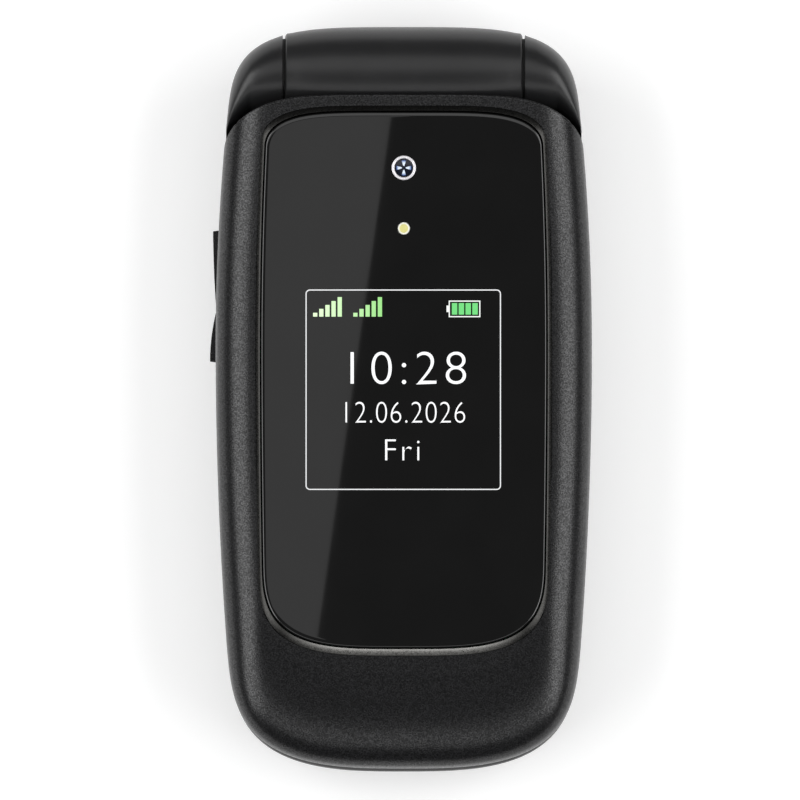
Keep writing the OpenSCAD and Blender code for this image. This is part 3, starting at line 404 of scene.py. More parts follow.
def satin_paint(name, colour, rough, fleck):
    """Satin paint with fine metal flecks: two sizes of grain break the colour, the roughness
    and the height, so that a highlight falls apart into points."""
    mat, nt, bsdf, pos = new_finish(name)
    grit = noise(nt, pos, 0.2, 1)
    soft = ranged(nt, noise(nt, pos, 0.6, 2), 0.0, 0.35, 0.2, 0.8)
    mix = calc(nt, "ADD", calc(nt, "MULTIPLY", grit, 0.65), soft)
    wave = calc(nt, "MULTIPLY", noise(nt, pos, 9, 2), 0.3)
    c = np.array(colour)
    feed(nt, bsdf, Base_Color=tinted(nt, ranged(nt, mix, 0, 1, 0.35, 0.68), c * 0.55, c * (1 + fleck)),
         Roughness=ranged(nt, mix, rough + 0.04, rough - 0.04, 0.35, 0.68), Metallic=0.25,
         Specular_IOR_Level=ranged(nt, grit, 0.3, 0.7, 0.35, 0.65))
    bumped(nt, bsdf, calc(nt, "ADD", grit, wave), 0.014)
    return mat


def metal(name, colour, rough, stretch=(1, 1, 1), grain=0.4, depth=0.004):
    """Bare or plated metal, brushed along the axis that is stretched least."""
    mat, nt, bsdf, pos = new_finish(name)
    lines = noise(nt, pos, grain, 4, stretch)
    c = np.array(colour)
    feed(nt, bsdf, Base_Color=tinted(nt, ranged(nt, noise(nt, pos, 6, 2), 0, 1), c * 0.88, c),
         Roughness=ranged(nt, lines, rough - 0.06, rough + 0.08), Metallic=1.0)
    bumped(nt, bsdf, lines, depth)
    return mat


def trim_with_painted_highlight(name, colour):
    """Dark plating with a painted highlight and painted shade: the middle of the strip along the foot is
    painted seven times brighter, and the rest of the trim darker.
    """
    mat = metal(name, colour, 0.28, (1, 1, 1), 0.3, 0.002)
    nt, bsdf, pos = parts_of(mat)
    place = new_node(nt, "SeparateXYZ", Vector=pos).outputs
    foot = ranged(nt, place["Y"], 1, 0, -0.0345, -0.031)
    middle = ranged(nt, calc(nt, "ABSOLUTE", place["X"]), 1, 0, 0.009, 0.017)
    # painted highlight on the middle of the foot strip (colour times 7), painted shade on the rest of the
    # trim (colour times 0.6)
    painted_highlight = tinted(nt, calc(nt, "MULTIPLY", foot, middle), (0.6, 0.6, 0.6), (7, 7, 7))
    plating = bsdf.inputs["Base Color"].links[0].from_socket
    feed(nt, bsdf, Base_Color=tinted(nt, 1.0, plating, painted_highlight, "MULTIPLY"))
    return mat


def glossy_black(name, colour):
    """Printed window: black under clear plastic, with a faint orange peel and dust-fine wipes."""
    mat, nt, bsdf, pos = new_finish(name)
    peel = noise(nt, pos, 7, 1)
    wipes = noise(nt, pos, 1.2, 4, (1, 0.15, 1))
    c = np.array(colour)
    feed(nt, bsdf, Base_Color=tinted(nt, ranged(nt, peel, 0, 1), c * 0.9, c * 1.1),
         Roughness=ranged(nt, wipes, 0.012, 0.018), Coat_Weight=0.4, Coat_Roughness=0.012)
    bumped(nt, bsdf, peel, 0.002, 0.15)
    return mat


def radius_from(nt, pos, y_mm):
    """Distance in millimetres from the upright axis through (0, y_mm), and the angle round it."""
    flat = new_node(nt, "VectorMath", "MULTIPLY_ADD", Vector=pos)
    flat.inputs[1].default_value = (1000, 1000, 0)
    flat.inputs[2].default_value = (0, -y_mm, 0)
    size = new_node(nt, "VectorMath", "LENGTH", Vector=flat.outputs[0])
    place = new_node(nt, "SeparateXYZ", Vector=flat.outputs[0]).outputs
    return size.outputs["Value"], calc(nt, "ARCTAN2", place["Y"], place["X"])


def lens_finish(name):
    """Dark coated glass with four painted highlights: pale wedges round its middle, blue at their outer ends.
    """
    mat, nt, bsdf, pos = new_finish(name)
    r, angle = radius_from(nt, pos, CAM_Y)
    # painted highlights: four pale wedges in the lens colour, at right angles to each other
    painted_glints = ranged(nt, calc(nt, "COSINE", calc(nt, "MULTIPLY", angle, 4.0)), 0, 1, 0.25, 0.6)
    span = calc(nt, "MULTIPLY", ranged(nt, r, 0, 1, 0.22, 0.36), ranged(nt, r, 1, 0, 0.98, 1.12))
    pale = tinted(nt, ranged(nt, r, 0, 1, 0.7, 1.05), (0.75, 0.86, 0.98), (0.03, 0.1, 0.36))
    glint_mask = calc(nt, "MULTIPLY", painted_glints, span)
    feed(nt, bsdf, Base_Color=tinted(nt, glint_mask, (0.004, 0.006, 0.014), pale), Roughness=0.12,
         Specular_IOR_Level=0.5)
    return mat


def flash_finish(name):
    """Yellow phosphor inside a white rim."""
    mat, nt, bsdf, pos = new_finish(name)
    grain = noise(nt, pos, 0.12, 3)
    inner = tinted(nt, ranged(nt, grain, 0, 1), (0.66, 0.62, 0.2), (0.78, 0.74, 0.32))
    rim = ranged(nt, radius_from(nt, pos, FLASH_Y)[0], 0, 1, 0.58, 0.66)
    feed(nt, bsdf, Base_Color=tinted(nt, rim, inner, (0.93, 0.93, 0.82)),
         Roughness=ranged(nt, grain, 0.3, 0.42))
    bumped(nt, bsdf, grain, 0.01)
    return mat


def lit(name, colour, strength):
    """Lit pixels under the window: emission with a fine pixel pattern."""
    mat, nt, bsdf, pos = new_finish(name)
    cells = new_node(nt, "TexChecker", Scale=9000, Vector=pos).outputs["Fac"]
    c = np.array(colour)
    feed(nt, bsdf, Emission_Color=tinted(nt, cells, c * 0.88, np.minimum(c * 1.03, 1)),
         Base_Color=tinted(nt, noise(nt, pos, 0.6), c * 0.2, c * 0.3), Emission_Strength=strength,
         Roughness=0.2)
    return mat


def lit_across(name, left, right, x_left, x_right, strength):
    """Lit pixels whose colour changes from left to right, in millimetres."""
    mat = lit(name, left, strength)
    nt, bsdf, pos = parts_of(mat)
    x = new_node(nt, "SeparateXYZ", Vector=pos).outputs["X"]
    share = ranged(nt, x, 0, 1, x_left * 0.001, x_right * 0.001)
    feed(nt, bsdf, Emission_Color=tinted(nt, share, left, right))
    return mat


def board_finish(name, colour):
    """Lacquered circuit board: fine copper tracks under the lacquer."""
    mat, nt, bsdf, pos = new_finish(name)
    c = np.array(colour)
    tracks = new_node(nt, "TexBrick", Scale=260, Mortar_Size=0.03, Color1=(*c, 1), Color2=(*(c * 0.8), 1),
                      Mortar=(*np.minimum(c * 2.2, 1), 1), Vector=pos)
    feed(nt, bsdf, Base_Color=tracks.outputs["Color"], Roughness=ranged(nt, noise(nt, pos, 2), 0.25, 0.4))
    bumped(nt, bsdf, tracks.outputs["Fac"], 0.02)
    return mat


@cache
def finish_of(slot):
    """The finish of a material slot, made once."""
    s = bpy.context.scene.phone_finish
    looks = {
        "satin_black": (satin_paint, s.cover_colour, s.cover_roughness, s.fleck),
        "gloss_black": (moulded, s.housing_colour, 0.34, 0.35, 0.005, 0.12, 0.03, 0.0, 0.0, 0.45),
        "bright_trim": (trim_with_painted_highlight, s.trim_colour),
        "window_black": (glossy_black, s.window_colour),
        "display_module": (moulded, (0.03, 0.03, 0.035), 0.35),
        "lens_glass": (lens_finish,),
        "rim_white": (moulded, (0.86, 0.84, 0.87), 0.3, 0.3, 0.004, 0.05, 0.05, 0.3, 0.3),
        "module_black": (moulded, (0.02, 0.02, 0.022), 0.5),
        "lamp_yellow": (flash_finish,),
        "mesh_grey": (metal, (0.35, 0.35, 0.36), 0.45, (1, 1, 1), 0.15, 0.03),
        "board_green": (board_finish, (0.015, 0.11, 0.05)),
        "magnet_grey": (metal, (0.6, 0.6, 0.62), 0.28),
        "rubber_black": (moulded, (0.018, 0.018, 0.018), 0.75, 0.2, 0.02, 0.2),
        "steel": (metal, (0.62, 0.62, 0.63), 0.3, (1, 6, 1)),
        "brass": (metal, (0.78, 0.62, 0.3), 0.3),
        "flex_amber": (moulded, (0.55, 0.26, 0.05), 0.3, 0.4, 0.004, 0.15, 0.05, 0.2),
        "battery_wrap": (moulded, (0.09, 0.095, 0.11), 0.38, 0.5, 0.01, 0.2),
        "dome_film": (metal, (0.75, 0.75, 0.76), 0.35),
        "nav_silver": (metal, (0.55, 0.55, 0.57), 0.3, (1, 5, 1), 0.3),
        "legend_white": (moulded, (0.78, 0.79, 0.8), 0.45, 0.2, 0.003, 0.05),
        "legend_dark": (moulded, (0.03, 0.03, 0.035), 0.45, 0.2, 0.003, 0.1),
        "key_green": (moulded, (0.02, 0.22, 0.06), 0.42, 0.25, 0.01, 0.1),
        "key_red": (moulded, (0.4, 0.02, 0.02), 0.42, 0.25, 0.01, 0.1),
        "key_grey": (moulded, (0.03, 0.03, 0.033), 0.42, 0.25, 0.012, 0.15),
        "screen_white": (lit, (0.92, 0.93, 0.94), 1.0),
        "screen_line": (lit, (0.76, 0.77, 0.78), 1.0),
        "screen_bar": (lit_across, (0.75, 0.94, 0.62), (0.16, 0.6, 0.1), -13.0, -2.8, 0.95),
        "screen_green": (lit, (0.16, 0.66, 0.2), 0.95),
        "screen_pale": (lit, (0.84, 0.87, 0.84), 0.95),
    }
    maker, *values = looks[slot]
    return maker(slot, *values)


SLOT_OF = {part["node"]: part["material_slot"] for part in frame["record"]["subparts"]}


def wear(obj, slot, body, finish=None):
    """Gives a new piece the finish of its slot, or its own finish if it has one, and the body that it rides
    on.
    """
    obj.data.materials.clear()
    obj.data.materials.append(finish_of(finish or slot))
    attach(obj, body)
    return obj


# ---- pieces

def cover_parts():
    """Lid cover: rings of the outline that close in as they rise over the shoulder, each cut
    where it meets the arch; a flat field from the last ring to the window; a rounded edge
    along the arch, a wall under it, and the wall of the window's opening."""
    edge = ARCH_EDGE
    lv = smooth_levels(COVER_LEVELS, 44)
    scan = np.linspace(0.5, 0.999, 1600)[None, :]
    x, y = outline_at(BODY, scan, lv[:, 1:2], lv[:, 2:3], lv[:, 3:4])
    over = y - (arch_y(x) - edge)
    k = np.argmax(over > 0, axis=1)
    r = np.arange(len(lv))
    share = -over[r, k - 1] / (over[r, k] - over[r, k - 1])
    cross = scan[0, k - 1] + share * (scan[0, k] - scan[0, k - 1])
    t = ring_params(60)
    x, y = outline_at(BODY, t[None, :] * cross[:, None], lv[:, 1:2], lv[:, 2:3], lv[:, 3:4])
    z = np.broadcast_to(lv[:, :1], x.shape)
    right = np.stack([x, y, z], -1)
    left = right * np.array([-1, 1, 1])
    shell = np.concatenate([left[:, :0:-1], right], axis=1)

    end = right[-1, -1]
    m = 90
    ax = end[0] * np.cos(np.linspace(0, np.pi, m + 2)[1:-1])
    arc = np.stack([ax, arch_y(ax) - edge, np.full(m, CROWN_Z)], -1)
    outer = np.concatenate([shell[-1], arc])
    q_end = 0.86
    qx, qy = outline_at(LENS, t * q_end, *LENS_GROW)
    qa = q_end + (1 - q_end) * (1 - np.abs(np.cos(np.linspace(0, np.pi, m + 2)[1:-1])))
    bx, by = outline_at(LENS, qa, *LENS_GROW)
    bx = np.where(np.arange(m) < m / 2, bx, -bx)
    inner = np.stack([np.concatenate([-qx[:0:-1], qx, bx]), np.concatenate([qy[:0:-1], qy, by])], -1)
    inner = np.concatenate([inner, np.full((len(inner), 1), CROWN_Z)], axis=1)
    w = np.linspace(0, 1, 10)[:, None, None]
    field = outer[None] * (1 - w) + inner[None] * w
    hole = np.stack([inner, inner - [0, 0, 0.1], inner * [1, 1, 0] + [0, 0, LEDGE_Z]])

    path = np.concatenate([left[:-1, -1], [left[-1, -1]], arc[::-1], right[::-1, -1]])
    u = np.clip(np.abs(path[:, 0]) / ARCH_A, 0, 0.99999)
    slope = -ARCH_RISE * ARCH_N * (1 - u ** ARCH_M) ** (ARCH_N - 1) * ARCH_M * u ** (ARCH_M - 1) / ARCH_A
    slope *= np.sign(path[:, 0])
    out = np.stack([-slope, np.ones_like(slope), np.zeros_like(slope)], -1)
    out /= np.linalg.norm(out, axis=1, keepdims=True)
    a = np.linspace(0, np.pi / 2, 7)[:, None, None]
    lip = path[None] + out[None] * edge * np.sin(a) - np.array([0, 0, edge]) * (1 - np.cos(a))
    lip[..., 2] = np.maximum(lip[..., 2], COVER_Z)
    most = side_x(BODY, lip[..., 1], np.interp(lip[..., 2], lv[:, 0], lv[:, 1])) - 0.02
    lip[1:, :, 0] = np.clip(lip[1:, :, 0], -most[1:], most[1:])
    wall = np.stack([lip[-1], lip[-1] * [1, 1, 0] + [0, 0, COVER_Z]])
    inside = outline_at(BODY, t * cross[0], lv[0, 1] + 1.2, lv[0, 2] + 1.2, 0)
    inside = np.stack([inside[0], inside[1], np.full_like(inside[0], COVER_Z)], -1)
    inside = np.concatenate([inside[:0:-1] * [-1, 1, 1], inside])
    under = np.stack([inside, shell[0]])
    return [(shell, False), (field, True), (hole, True), (lip[:, ::-1], False), (wall[:, ::-1], False),
            (under, False)]


# ---- hinge and housings

HEAD_C, HEAD_N, HEAD_M = BODY[7]  # length and exponents of the body's head corner
HEAD_Y = BODY[3] - HEAD_C


def head_reach(x):
    """Distance from the hinge axis to the head's silhouette, at half width x."""
    a = side_x(BODY, BODY[3] - 2, 0)
    return HEAD_Y + HEAD_C * (1 - np.minimum(np.abs(x) / a, 1) ** HEAD_M) ** (1 / HEAD_N) - HINGE_Y


def barrel_profile(gap, end_gap, n=20):
    """Crowned barrel: its radius follows the head's silhouette."""
    x = np.linspace(-1, 1, 2 * n + 1) * (BARREL_X + end_gap)
    r = head_reach(np.minimum(np.abs(x), BARREL_X)) + gap
    return np.concatenate([[(0, x[0])], np.stack([r, x], 1), [(0, x[-1])]])


KNUCKLE_TOP = float(head_reach(KNUCKLE_X))
KNUCKLE_LOW, KNUCKLE_L = 4.6, 8.3  # depth under the hinge axis, length over which the height falls
OUTSIDE = 2 * BODY[0]


def knuckle_rings(side):
    """Egg-shaped sections round the height of the hinge axis, from the seam outwards. Each
    reaches from the arch to the head's silhouette, and its height falls off with the cube of
    the distance from the seam."""
    n, stations = 56, 34
    a = np.radians(50) * (1 - np.linspace(0, 1, stations) ** 1.3)
    y = HEAD_Y + HEAD_C * np.sin(a) ** (2 / HEAD_N)
    x = side_x(BODY, y, 0) * np.cos(a) ** (2 / HEAD_M)
    x = np.concatenate([[KNUCKLE_X], x])[:, None]
    y1 = np.concatenate([[HINGE_Y + KNUCKLE_TOP], y])[:, None]
    y0 = np.minimum(HINGE_Y - KNUCKLE_TOP, arch_y(x) + HINGE_GAP)
    up = KNUCKLE_TOP * np.sqrt(np.maximum(0.02, 1 - np.clip((x - KNUCKLE_X) / KNUCKLE_L, 0, 1) ** 3))
    t = 2 * np.pi * np.arange(n)[None, :] / n
    ring = np.stack([np.broadcast_to(x, (len(x), n)), (y0 + y1) / 2 + (y1 - y0) / 2 * np.cos(t),
                     HINGE_Z + np.where(t < np.pi, up, KNUCKLE_LOW) * np.sin(t)], -1)
    if side < 0:
        ring = ring[:, ::-1] * np.array([-1, 1, 1])
    return ring


def knuckle_relief(side):
    """Room that the knuckles need in the lid: turned round the hinge axis, as wide as the
    furthest point of each section."""
    ring = knuckle_rings(1)
    reach = np.hypot(ring[..., 1] - HINGE_Y, ring[..., 2] - HINGE_Z).max(1) + HINGE_GAP
    x = ring[:, 0, 0]
    profile = np.concatenate([[(0, BARREL_X)], [(reach[0], BARREL_X)], np.stack([reach, x], 1),
                              [(reach[-1], OUTSIDE)], [(0, OUTSIDE)]])
    if side < 0:
        profile = profile[::-1] * np.array([1, -1])
    return turned(profile)


def past_arch():
    """Everything past the cover's arched end."""
    t = np.linspace(-1, 1, 161)
    x = ARCH_A * np.sign(t) * np.abs(t) ** 0.5
    far = BODY[3] + 10
    corners = [(OUTSIDE, ARCH_FOOT), (OUTSIDE, far), (-OUTSIDE, far), (-OUTSIDE, ARCH_FOOT)]
    ring = np.concatenate([corners, np.stack([x, arch_y(x)], 1)])
    return prism(ring, LID_Z - 1, CLOSED_T + 1)


WALL = 1.3
FRONT_LEVELS = ((BASE_SEAM, 0, 0, 2.1), (BASE_SEAM + 0.8, 0, 0, 1.9), (BASE_TOP - 2.8, 0.02, 0, 3.6),
                (BASE_TOP - 0.7, 0.12, 0.12, 5.2), (BASE_TOP, 0.5, 0.55, 5.8))
BASE_LEVELS = ((0, 3, 3.2, 8), (0.5, 1.9, 2, 6.6), (1.4, 0.95, 1, 5), (2.8, 0.35, 0.35, 3.5),
               (4.6, 0.05, 0.05, 2.5), (BASE_SEAM, 0, 0, 2.1))
INNER_LEVELS = ((0, 2.3, 2.4, 0.5), (0.45, 1.6, 1.6, 0.4), (1.35, 0.95, 0.9, 0.3), (2.75, 0.8, 0.8, 0.2),
                (4.5, 0.95, 0.95, 0.2))
COVER_T = 1.1
LIP = 2.8
KEY_W, KEY_H, PITCH_X, PITCH_Y, KEY_FOOT_Y = 13.2, 9.4, 14.8, 11.5, -38.2
NAV_W, NAV_H, NAV_Y = 19.0, 18.5, 17.0
SOFT_W, SOFT_H, SOFT_X, SOFT_DY = 10.0, 8.6, 16.1, 5.4
KEY_GAP = 0.3
DIGITS = [(((i % 3) - 1) * PITCH_X, KEY_FOOT_Y + (3 - i // 3) * PITCH_Y) for i in range(12)]
SOFT = [(sx * SOFT_X, NAV_Y + sy * SOFT_DY) for sy in (1, -1) for sx in (-1, 1)]
WELLS = ([(KEY_W, KEY_H, p) for p in DIGITS] + [(SOFT_W, SOFT_H, p) for p in SOFT]
         + [(NAV_W, NAV_H, (0, NAV_Y))])
MIC_Y, MIC_R = -48.2, 0.5
ROCKER_Y0, ROCKER_L, ROCKER_Z, ROCKER_H, ROCKER_IN, ROCKER_GAP = 5.2, 18.7, 6.4, 2.2, -23.5, 0.3
BOARD_Z, SOCKET_Z, JACK_X, JACK_R, JACK_WALL, USB_X, USB_W, USB_GAP = 6.9, 4.6, -8.0, 1.8, 0.65, 7.0, 7.6, 0.3
FLOOR_TOP = 2.2
COVER_Y0, COVER_Y1 = -49.4, 36.0
NOTCH_R, NOTCH_Y = 1.4, COVER_Y0 + 12
BATT_W, BATT_L, BATT_Y, BATT_GAP = 34.6, 53.6, -6.0, 0.35
SEAM = 0.15  # between the battery cover and the rear housing
SPEAKER_AT, SPEAKER_W, SPEAKER_D = (8.5, 30.4), 15.0, 10.4
CASE_SCREW_R, LID_SCREW_R = 1.6, 1.7
CASE_SCREWS = [(sx * x, y) for sx in (-1, 1) for x, y in ((16.0, -46.0), (20.8, 30.6))]
LID_SCREWS = [(sx * x, y) for sx in (-1, 1) for x, y in ((16.6, -46.2), (21.2, 29.0))]


def foot_openings():
    """Bore of the headset jack and slot of the USB socket, through the foot."""
    out, jack_in, usb_in = BODY[2] - 3, BODY[2] + 5, BODY[2] + 8
    bore = 2 * (JACK_R + JACK_WALL)
    jack = slot_ring(bore, bore - 1e-6, (JACK_X, SOCKET_Z), 24)
    rings = [np.stack([jack[:, 0], np.full(len(jack), y), jack[:, 1]], 1) for y in (jack_in, out)]
    half = USB_W / 2 + USB_GAP
    return [solid("jack", rings), block(USB_X - half, USB_X + half, out, usb_in, BOARD_Z - 3, BOARD_Z)]


def inset_prism(side, foot, head, z0, z1):
    """The body's outline, drawn in, raised from z0 to z1."""
    return prism(closed_rings(BODY, [(0, side, foot, head)])[0][:, :2], z0, z1)


def cover_plan(gap):
    """Plan of the battery cover: a straight foot edge and a head edge that bows in the middle."""
    t = np.linspace(-1, 1, 41)
    bow = COVER_Y1 + 1.6 * (1 - (2 * t) ** 2) + gap
    foot = COVER_Y0 - gap
    ring = np.concatenate([[(-OUTSIDE, foot), (OUTSIDE, foot)], np.stack([OUTSIDE * t, bow], 1)[::-1]])
    return prism(ring, -1, LIP + gap)


def inner_form(gap):
    """The base's form, drawn in by the cover's thickness and a gap."""
    wall = np.array([COVER_T, COVER_T * 0.9, COVER_T * 0.9, 8])
    return loft(BODY, np.array(INNER_LEVELS) + wall + gap * np.array([1, 1, 1, 0]), steps=16)


def make_housings():
    """Front housing with its knuckles, rear housing and battery cover, carved from lofts."""
    front = loft(BODY, FRONT_LEVELS, 64, 24)
    carve(front, [solid("knuckle", knuckle_rings(s)) for s in (1, -1)], "UNION")
    cuts = [inset_prism(WALL, WALL + 0.2, 15, BASE_SEAM - 1, FACE_Z),
            turned(barrel_profile(HINGE_GAP, HINGE_GAP))]
    cuts += [prism(pad(w + 2 * KEY_GAP, h + 2 * KEY_GAP, p), FACE_Z - 1, BASE_TOP + 1) for w, h, p in WELLS]
    cuts += [rod(0, MIC_Y, FACE_Z - 1, BASE_TOP + 1, MIC_R),
             block(-OUTSIDE, ROCKER_IN, ROCKER_Y0 - ROCKER_GAP, ROCKER_Y0 + ROCKER_L + ROCKER_GAP,
                   ROCKER_Z - ROCKER_GAP, ROCKER_Z + ROCKER_H + ROCKER_GAP)]
    carve(front, cuts + foot_openings())
    wear(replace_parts(named(front, "front_shell"), "front_housing"), "gloss_black", "base")

    # Dark rubber washers fill the seams between the barrel and the knuckles, 0.5 mm below the knuckles' tops:
    # dark pieces that stand in for the shade in these seams, painted shade.
    seam_shade_washers = []
    r0, r1 = 2.3, KNUCKLE_TOP - 0.5
    x0, x1 = BARREL_X + 0.03, KNUCKLE_X - 0.02
    for s in (1, -1):
        ring = [np.array([s * x, HINGE_Y, HINGE_Z]) + r * circle_x(64, s)
                for x, r in ((x0, r0), (x0, r1), (x1, r1), (x1, r0), (x0, r0))]
        seam_shade_washers.append((ring, True))
    wear(piece("hinge_washers", seam_shade_washers, 40), "rubber_black", "base")

    rear = loft(BODY, BASE_LEVELS, 64, 30)
    carve(rear, [cover_plan(SEAM)])
    core = inner_form(SEAM)
    carve(core, [cover_plan(SEAM + 0.05)], "INTERSECT")
    carve(rear, [core], "UNION")
    half_w, half_l = BATT_W / 2 + BATT_GAP, BATT_L / 2 + BATT_GAP
    cuts = [inset_prism(3.7, 3.7, 15.5, FLOOR_TOP, BASE_SEAM + 1),
            inset_prism(1.5, 1.7, 15, LIP + 1.1, BASE_SEAM + 1),
            block(-half_w, half_w, BATT_Y - half_l, BATT_Y + half_l, -1, BASE_SEAM + 1),
            prism(slot_ring(SPEAKER_W - 2.5, SPEAKER_D - 3.4, SPEAKER_AT), -1, FLOOR_TOP + 1),
            turned(barrel_profile(HINGE_GAP, HINGE_GAP))]
    cuts += [rod(x, y, -1, FLOOR_TOP + 1, CASE_SCREW_R) for x, y in CASE_SCREWS]
    carve(rear, cuts + foot_openings())
    wear(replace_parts(named(rear, "rear_shell"), "rear_housing"), "gloss_black", "base")

    back = loft(BODY, BASE_LEVELS, 64, 30)
    carve(back, [cover_plan(0)], "INTERSECT")
    c = slot_ring(2 * NOTCH_R, 2 * NOTCH_R - 1e-6)
    notch = solid("notch", [np.stack([np.full(len(c), x), NOTCH_Y + c[:, 1], LIP + 0.2 - c[:, 0]], 1)
                            for x in (-27.0, -24.0)])
    slots = [slot_ring(9, 0.8, (SPEAKER_AT[0], SPEAKER_AT[1] + i * 1.6)) for i in (-2, -1, 0, 1, 2)]
    carve(back, [inner_form(0), notch] + [prism(ring, -1, 2.1) for ring in slots])
    wear(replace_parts(named(back, "battery_cover_shell"), "battery_cover"), "satin_black", "battery_cover")


VIEW_W, VIEW_L, VIEW_Y, VIEW_RIM = 38.0, 50.0, -7.0, 2.6
RECESS = 0.4
EAR_Y = -43.5
PIN_BORE_R, CARTRIDGE_BORE_R = 2.05, 3.05


def bore(r, x0, x1):
    """A round hole along the hinge axis."""
    return turned([(0, x0), (r, x0), (r, x1), (0, x1)], 40)


def make_frame():
    """Inner frame of the lid with its recesses, and the crowned barrel in one piece with it."""
    plate = loft(BODY, ((LID_Z, 0.35, 1.1, 0), (LID_Z + 0.1, 0.2, 0.95, 0), (LID_Z + 0.4, 0.12, 0.85, 0),
                        (FRAME_TOP, 0.1, 0.75, 0)), 64)
    carve(plate, [past_arch(), knuckle_relief(1), knuckle_relief(-1)])
    barrel = barrel_profile(0, 0, 30)
    end_r = barrel[1, 0]
    ends = np.array([(0, -BARREL_X), (end_r - 0.25, -BARREL_X), (end_r - 0.07, -BARREL_X + 0.07),
                     (barrel[2, 0], -BARREL_X + 0.25)])
    barrel = np.concatenate([ends, barrel[3:-3], ends[::-1] * [1, -1]])
    carve(plate, [turned(barrel, 128)], "UNION")
    key_y, key_w = (KEY_FOOT_Y + NAV_Y) / 2, 2 * PITCH_X + KEY_W + 3
    key_l = NAV_Y + NAV_H / 2 - KEY_FOOT_Y + KEY_H / 2 + 6
    half_w, half_l, rim = VIEW_W / 2, VIEW_L / 2, VIEW_RIM + 0.1
    cuts = [prism(pad(key_w, key_l, (0, key_y), 96), LID_Z - 1, LID_Z + RECESS),
            prism(pad(VIEW_W + 2 * rim, VIEW_L + 4 * rim, (0, VIEW_Y), 96), LID_Z + 0.2, LID_Z + 1.4),
            block(-half_w, half_w, VIEW_Y - half_l, VIEW_Y + half_l, LID_Z + 0.3, FRAME_TOP + 1),
            prism(slot_ring(9.6, 1.6, (0, EAR_Y)), LID_Z - 1, FRAME_TOP + 1),
            bore(PIN_BORE_R, -18, -10), bore(CARTRIDGE_BORE_R, 1, 18)]
    cuts += [rod(x, y, LID_Z - 1, LID_Z + 1.25, LID_SCREW_R) for x, y in LID_SCREWS]
    carve(plate, cuts)
    wear(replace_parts(named(plate, "lid_frame"), "lid_inner_frame"), "gloss_black", "lid")


def make_window():
    """The bright trim, as a ring whose top slopes up to the window, and the window, a slab
    with a quarter round along its edge."""
    outer, inner = (-0.57, -0.95, -0.7), (0.0, 0.0, 0.0)
    trim = closed_rings(LENS, [(LEDGE_Z + 0.05, *outer), (CROWN_Z, *outer),
                               (CROWN_Z + 0.08, -0.5, -0.85, -0.6),
                               (CLOSED_T - 0.1, -0.12, -0.14, -0.12), (CLOSED_T - 0.06, -0.03, -0.03, -0.03),
                               (CLOSED_T - 0.3, *inner), (LEDGE_Z + 0.05, *inner), (LEDGE_Z + 0.05, *outer)])
    wear(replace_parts(piece("window_trim", [(trim, True)], 50), "lens_trim"), "bright_trim", "lid")
    a = np.linspace(0, np.pi / 2, 8)
    r = 0.35
    inset = 0.1 + r * (1 - np.cos(a))
    edge = np.stack([CLOSED_T - r + r * np.sin(a), inset, inset, inset], 1)
    levels = np.concatenate([[(LENS_Z, 0.1, 0.1, 0.1)], edge, [(CLOSED_T, 0.9, 0.9, 0.9)]])
    lens = solid("window", closed_rings(LENS, levels))
    carve(lens, [rod(0, CAM_Y, LENS_Z - 1, CLOSED_T + 1, CAM_RING_R + 0.03, 96),
                 rod(0, FLASH_Y, LENS_Z - 1, CLOSED_T + 1, FLASH_R + 0.03, 64)])
    wear(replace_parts(named(lens, "window", 40), "lid_lens"), "window_black", "lid")


def upright(profile, at_y):
    """Rings turned round the vertical through (0, at_y) from (radius, height) pairs."""
    r, z = np.asarray(profile, float).T[:, :, None]
    a = 2 * np.pi * np.arange(96) / 96
    return np.stack([r * np.cos(a), at_y + r * np.sin(a), z + 0 * a], -1)


def make_eyes():
    """Camera ring as half of a torus, and camera lens as a shallow cap that falls with the
    square of its radius."""
    a = np.linspace(0, np.pi, 17)
    half = 0.2
    mid = CAM_RING_R - half
    top = np.stack([mid + half * np.cos(a), CLOSED_T - 0.02 + 0.16 * np.sin(a)], 1)
    ring = np.concatenate([[(mid + half, LENS_Z)], top, [(mid - half, LENS_Z), (mid + half, LENS_Z)]])
    wear(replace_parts(piece("camera_rim", [(upright(ring, CAM_Y), True)], 50), "camera_ring"),
         "bright_trim", "lid", "rim_white")
    r = (mid - half - 0.01) * np.linspace(1, 0, 14)
    cap = np.stack([r, CLOSED_T - 0.22 - 0.16 * (r / CAM_RING_R) ** 2], 1)
    rings = upright(np.concatenate([[(0, LENS_Z), (r[0], LENS_Z)], cap]), CAM_Y)
    wear(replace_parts(piece("camera_glass", [(rings, True)], 50), "camera_lens"), "lens_glass", "lid")


def text_points(text, size, x, y, z, thin=0.0, wide=1.0, space=1.0):
    """Outlines of letters as a thin solid, in millimetres, centred on x with its foot at y."""
    curve = bpy.data.curves.new("legend", "FONT")
    curve.body, curve.size, curve.align_x = text, size, "CENTER"
    curve.offset, curve.space_character, curve.extrude = thin, space, PRINT / 2
    obj = placed("legend", curve)
    mesh = baked(obj)
    bpy.data.objects.remove(obj)
    bpy.data.curves.remove(curve)
    mesh.calc_loop_triangles()
    co = np.empty(len(mesh.vertices) * 3, np.float32)
    mesh.vertices.foreach_get("co", co)
    corners = np.empty(len(mesh.loop_triangles) * 3, np.int32)
    mesh.loop_triangles.foreach_get("vertices", corners)
    corners = corners.reshape(-1, 3)
    bpy.data.meshes.remove(mesh)
    points = co.reshape(-1, 3) * np.array([wide, 1, 1]) + np.array([x, y, z + PRINT / 2])
    return points, np.concatenate([corners, corners[:, 2:]], axis=1)


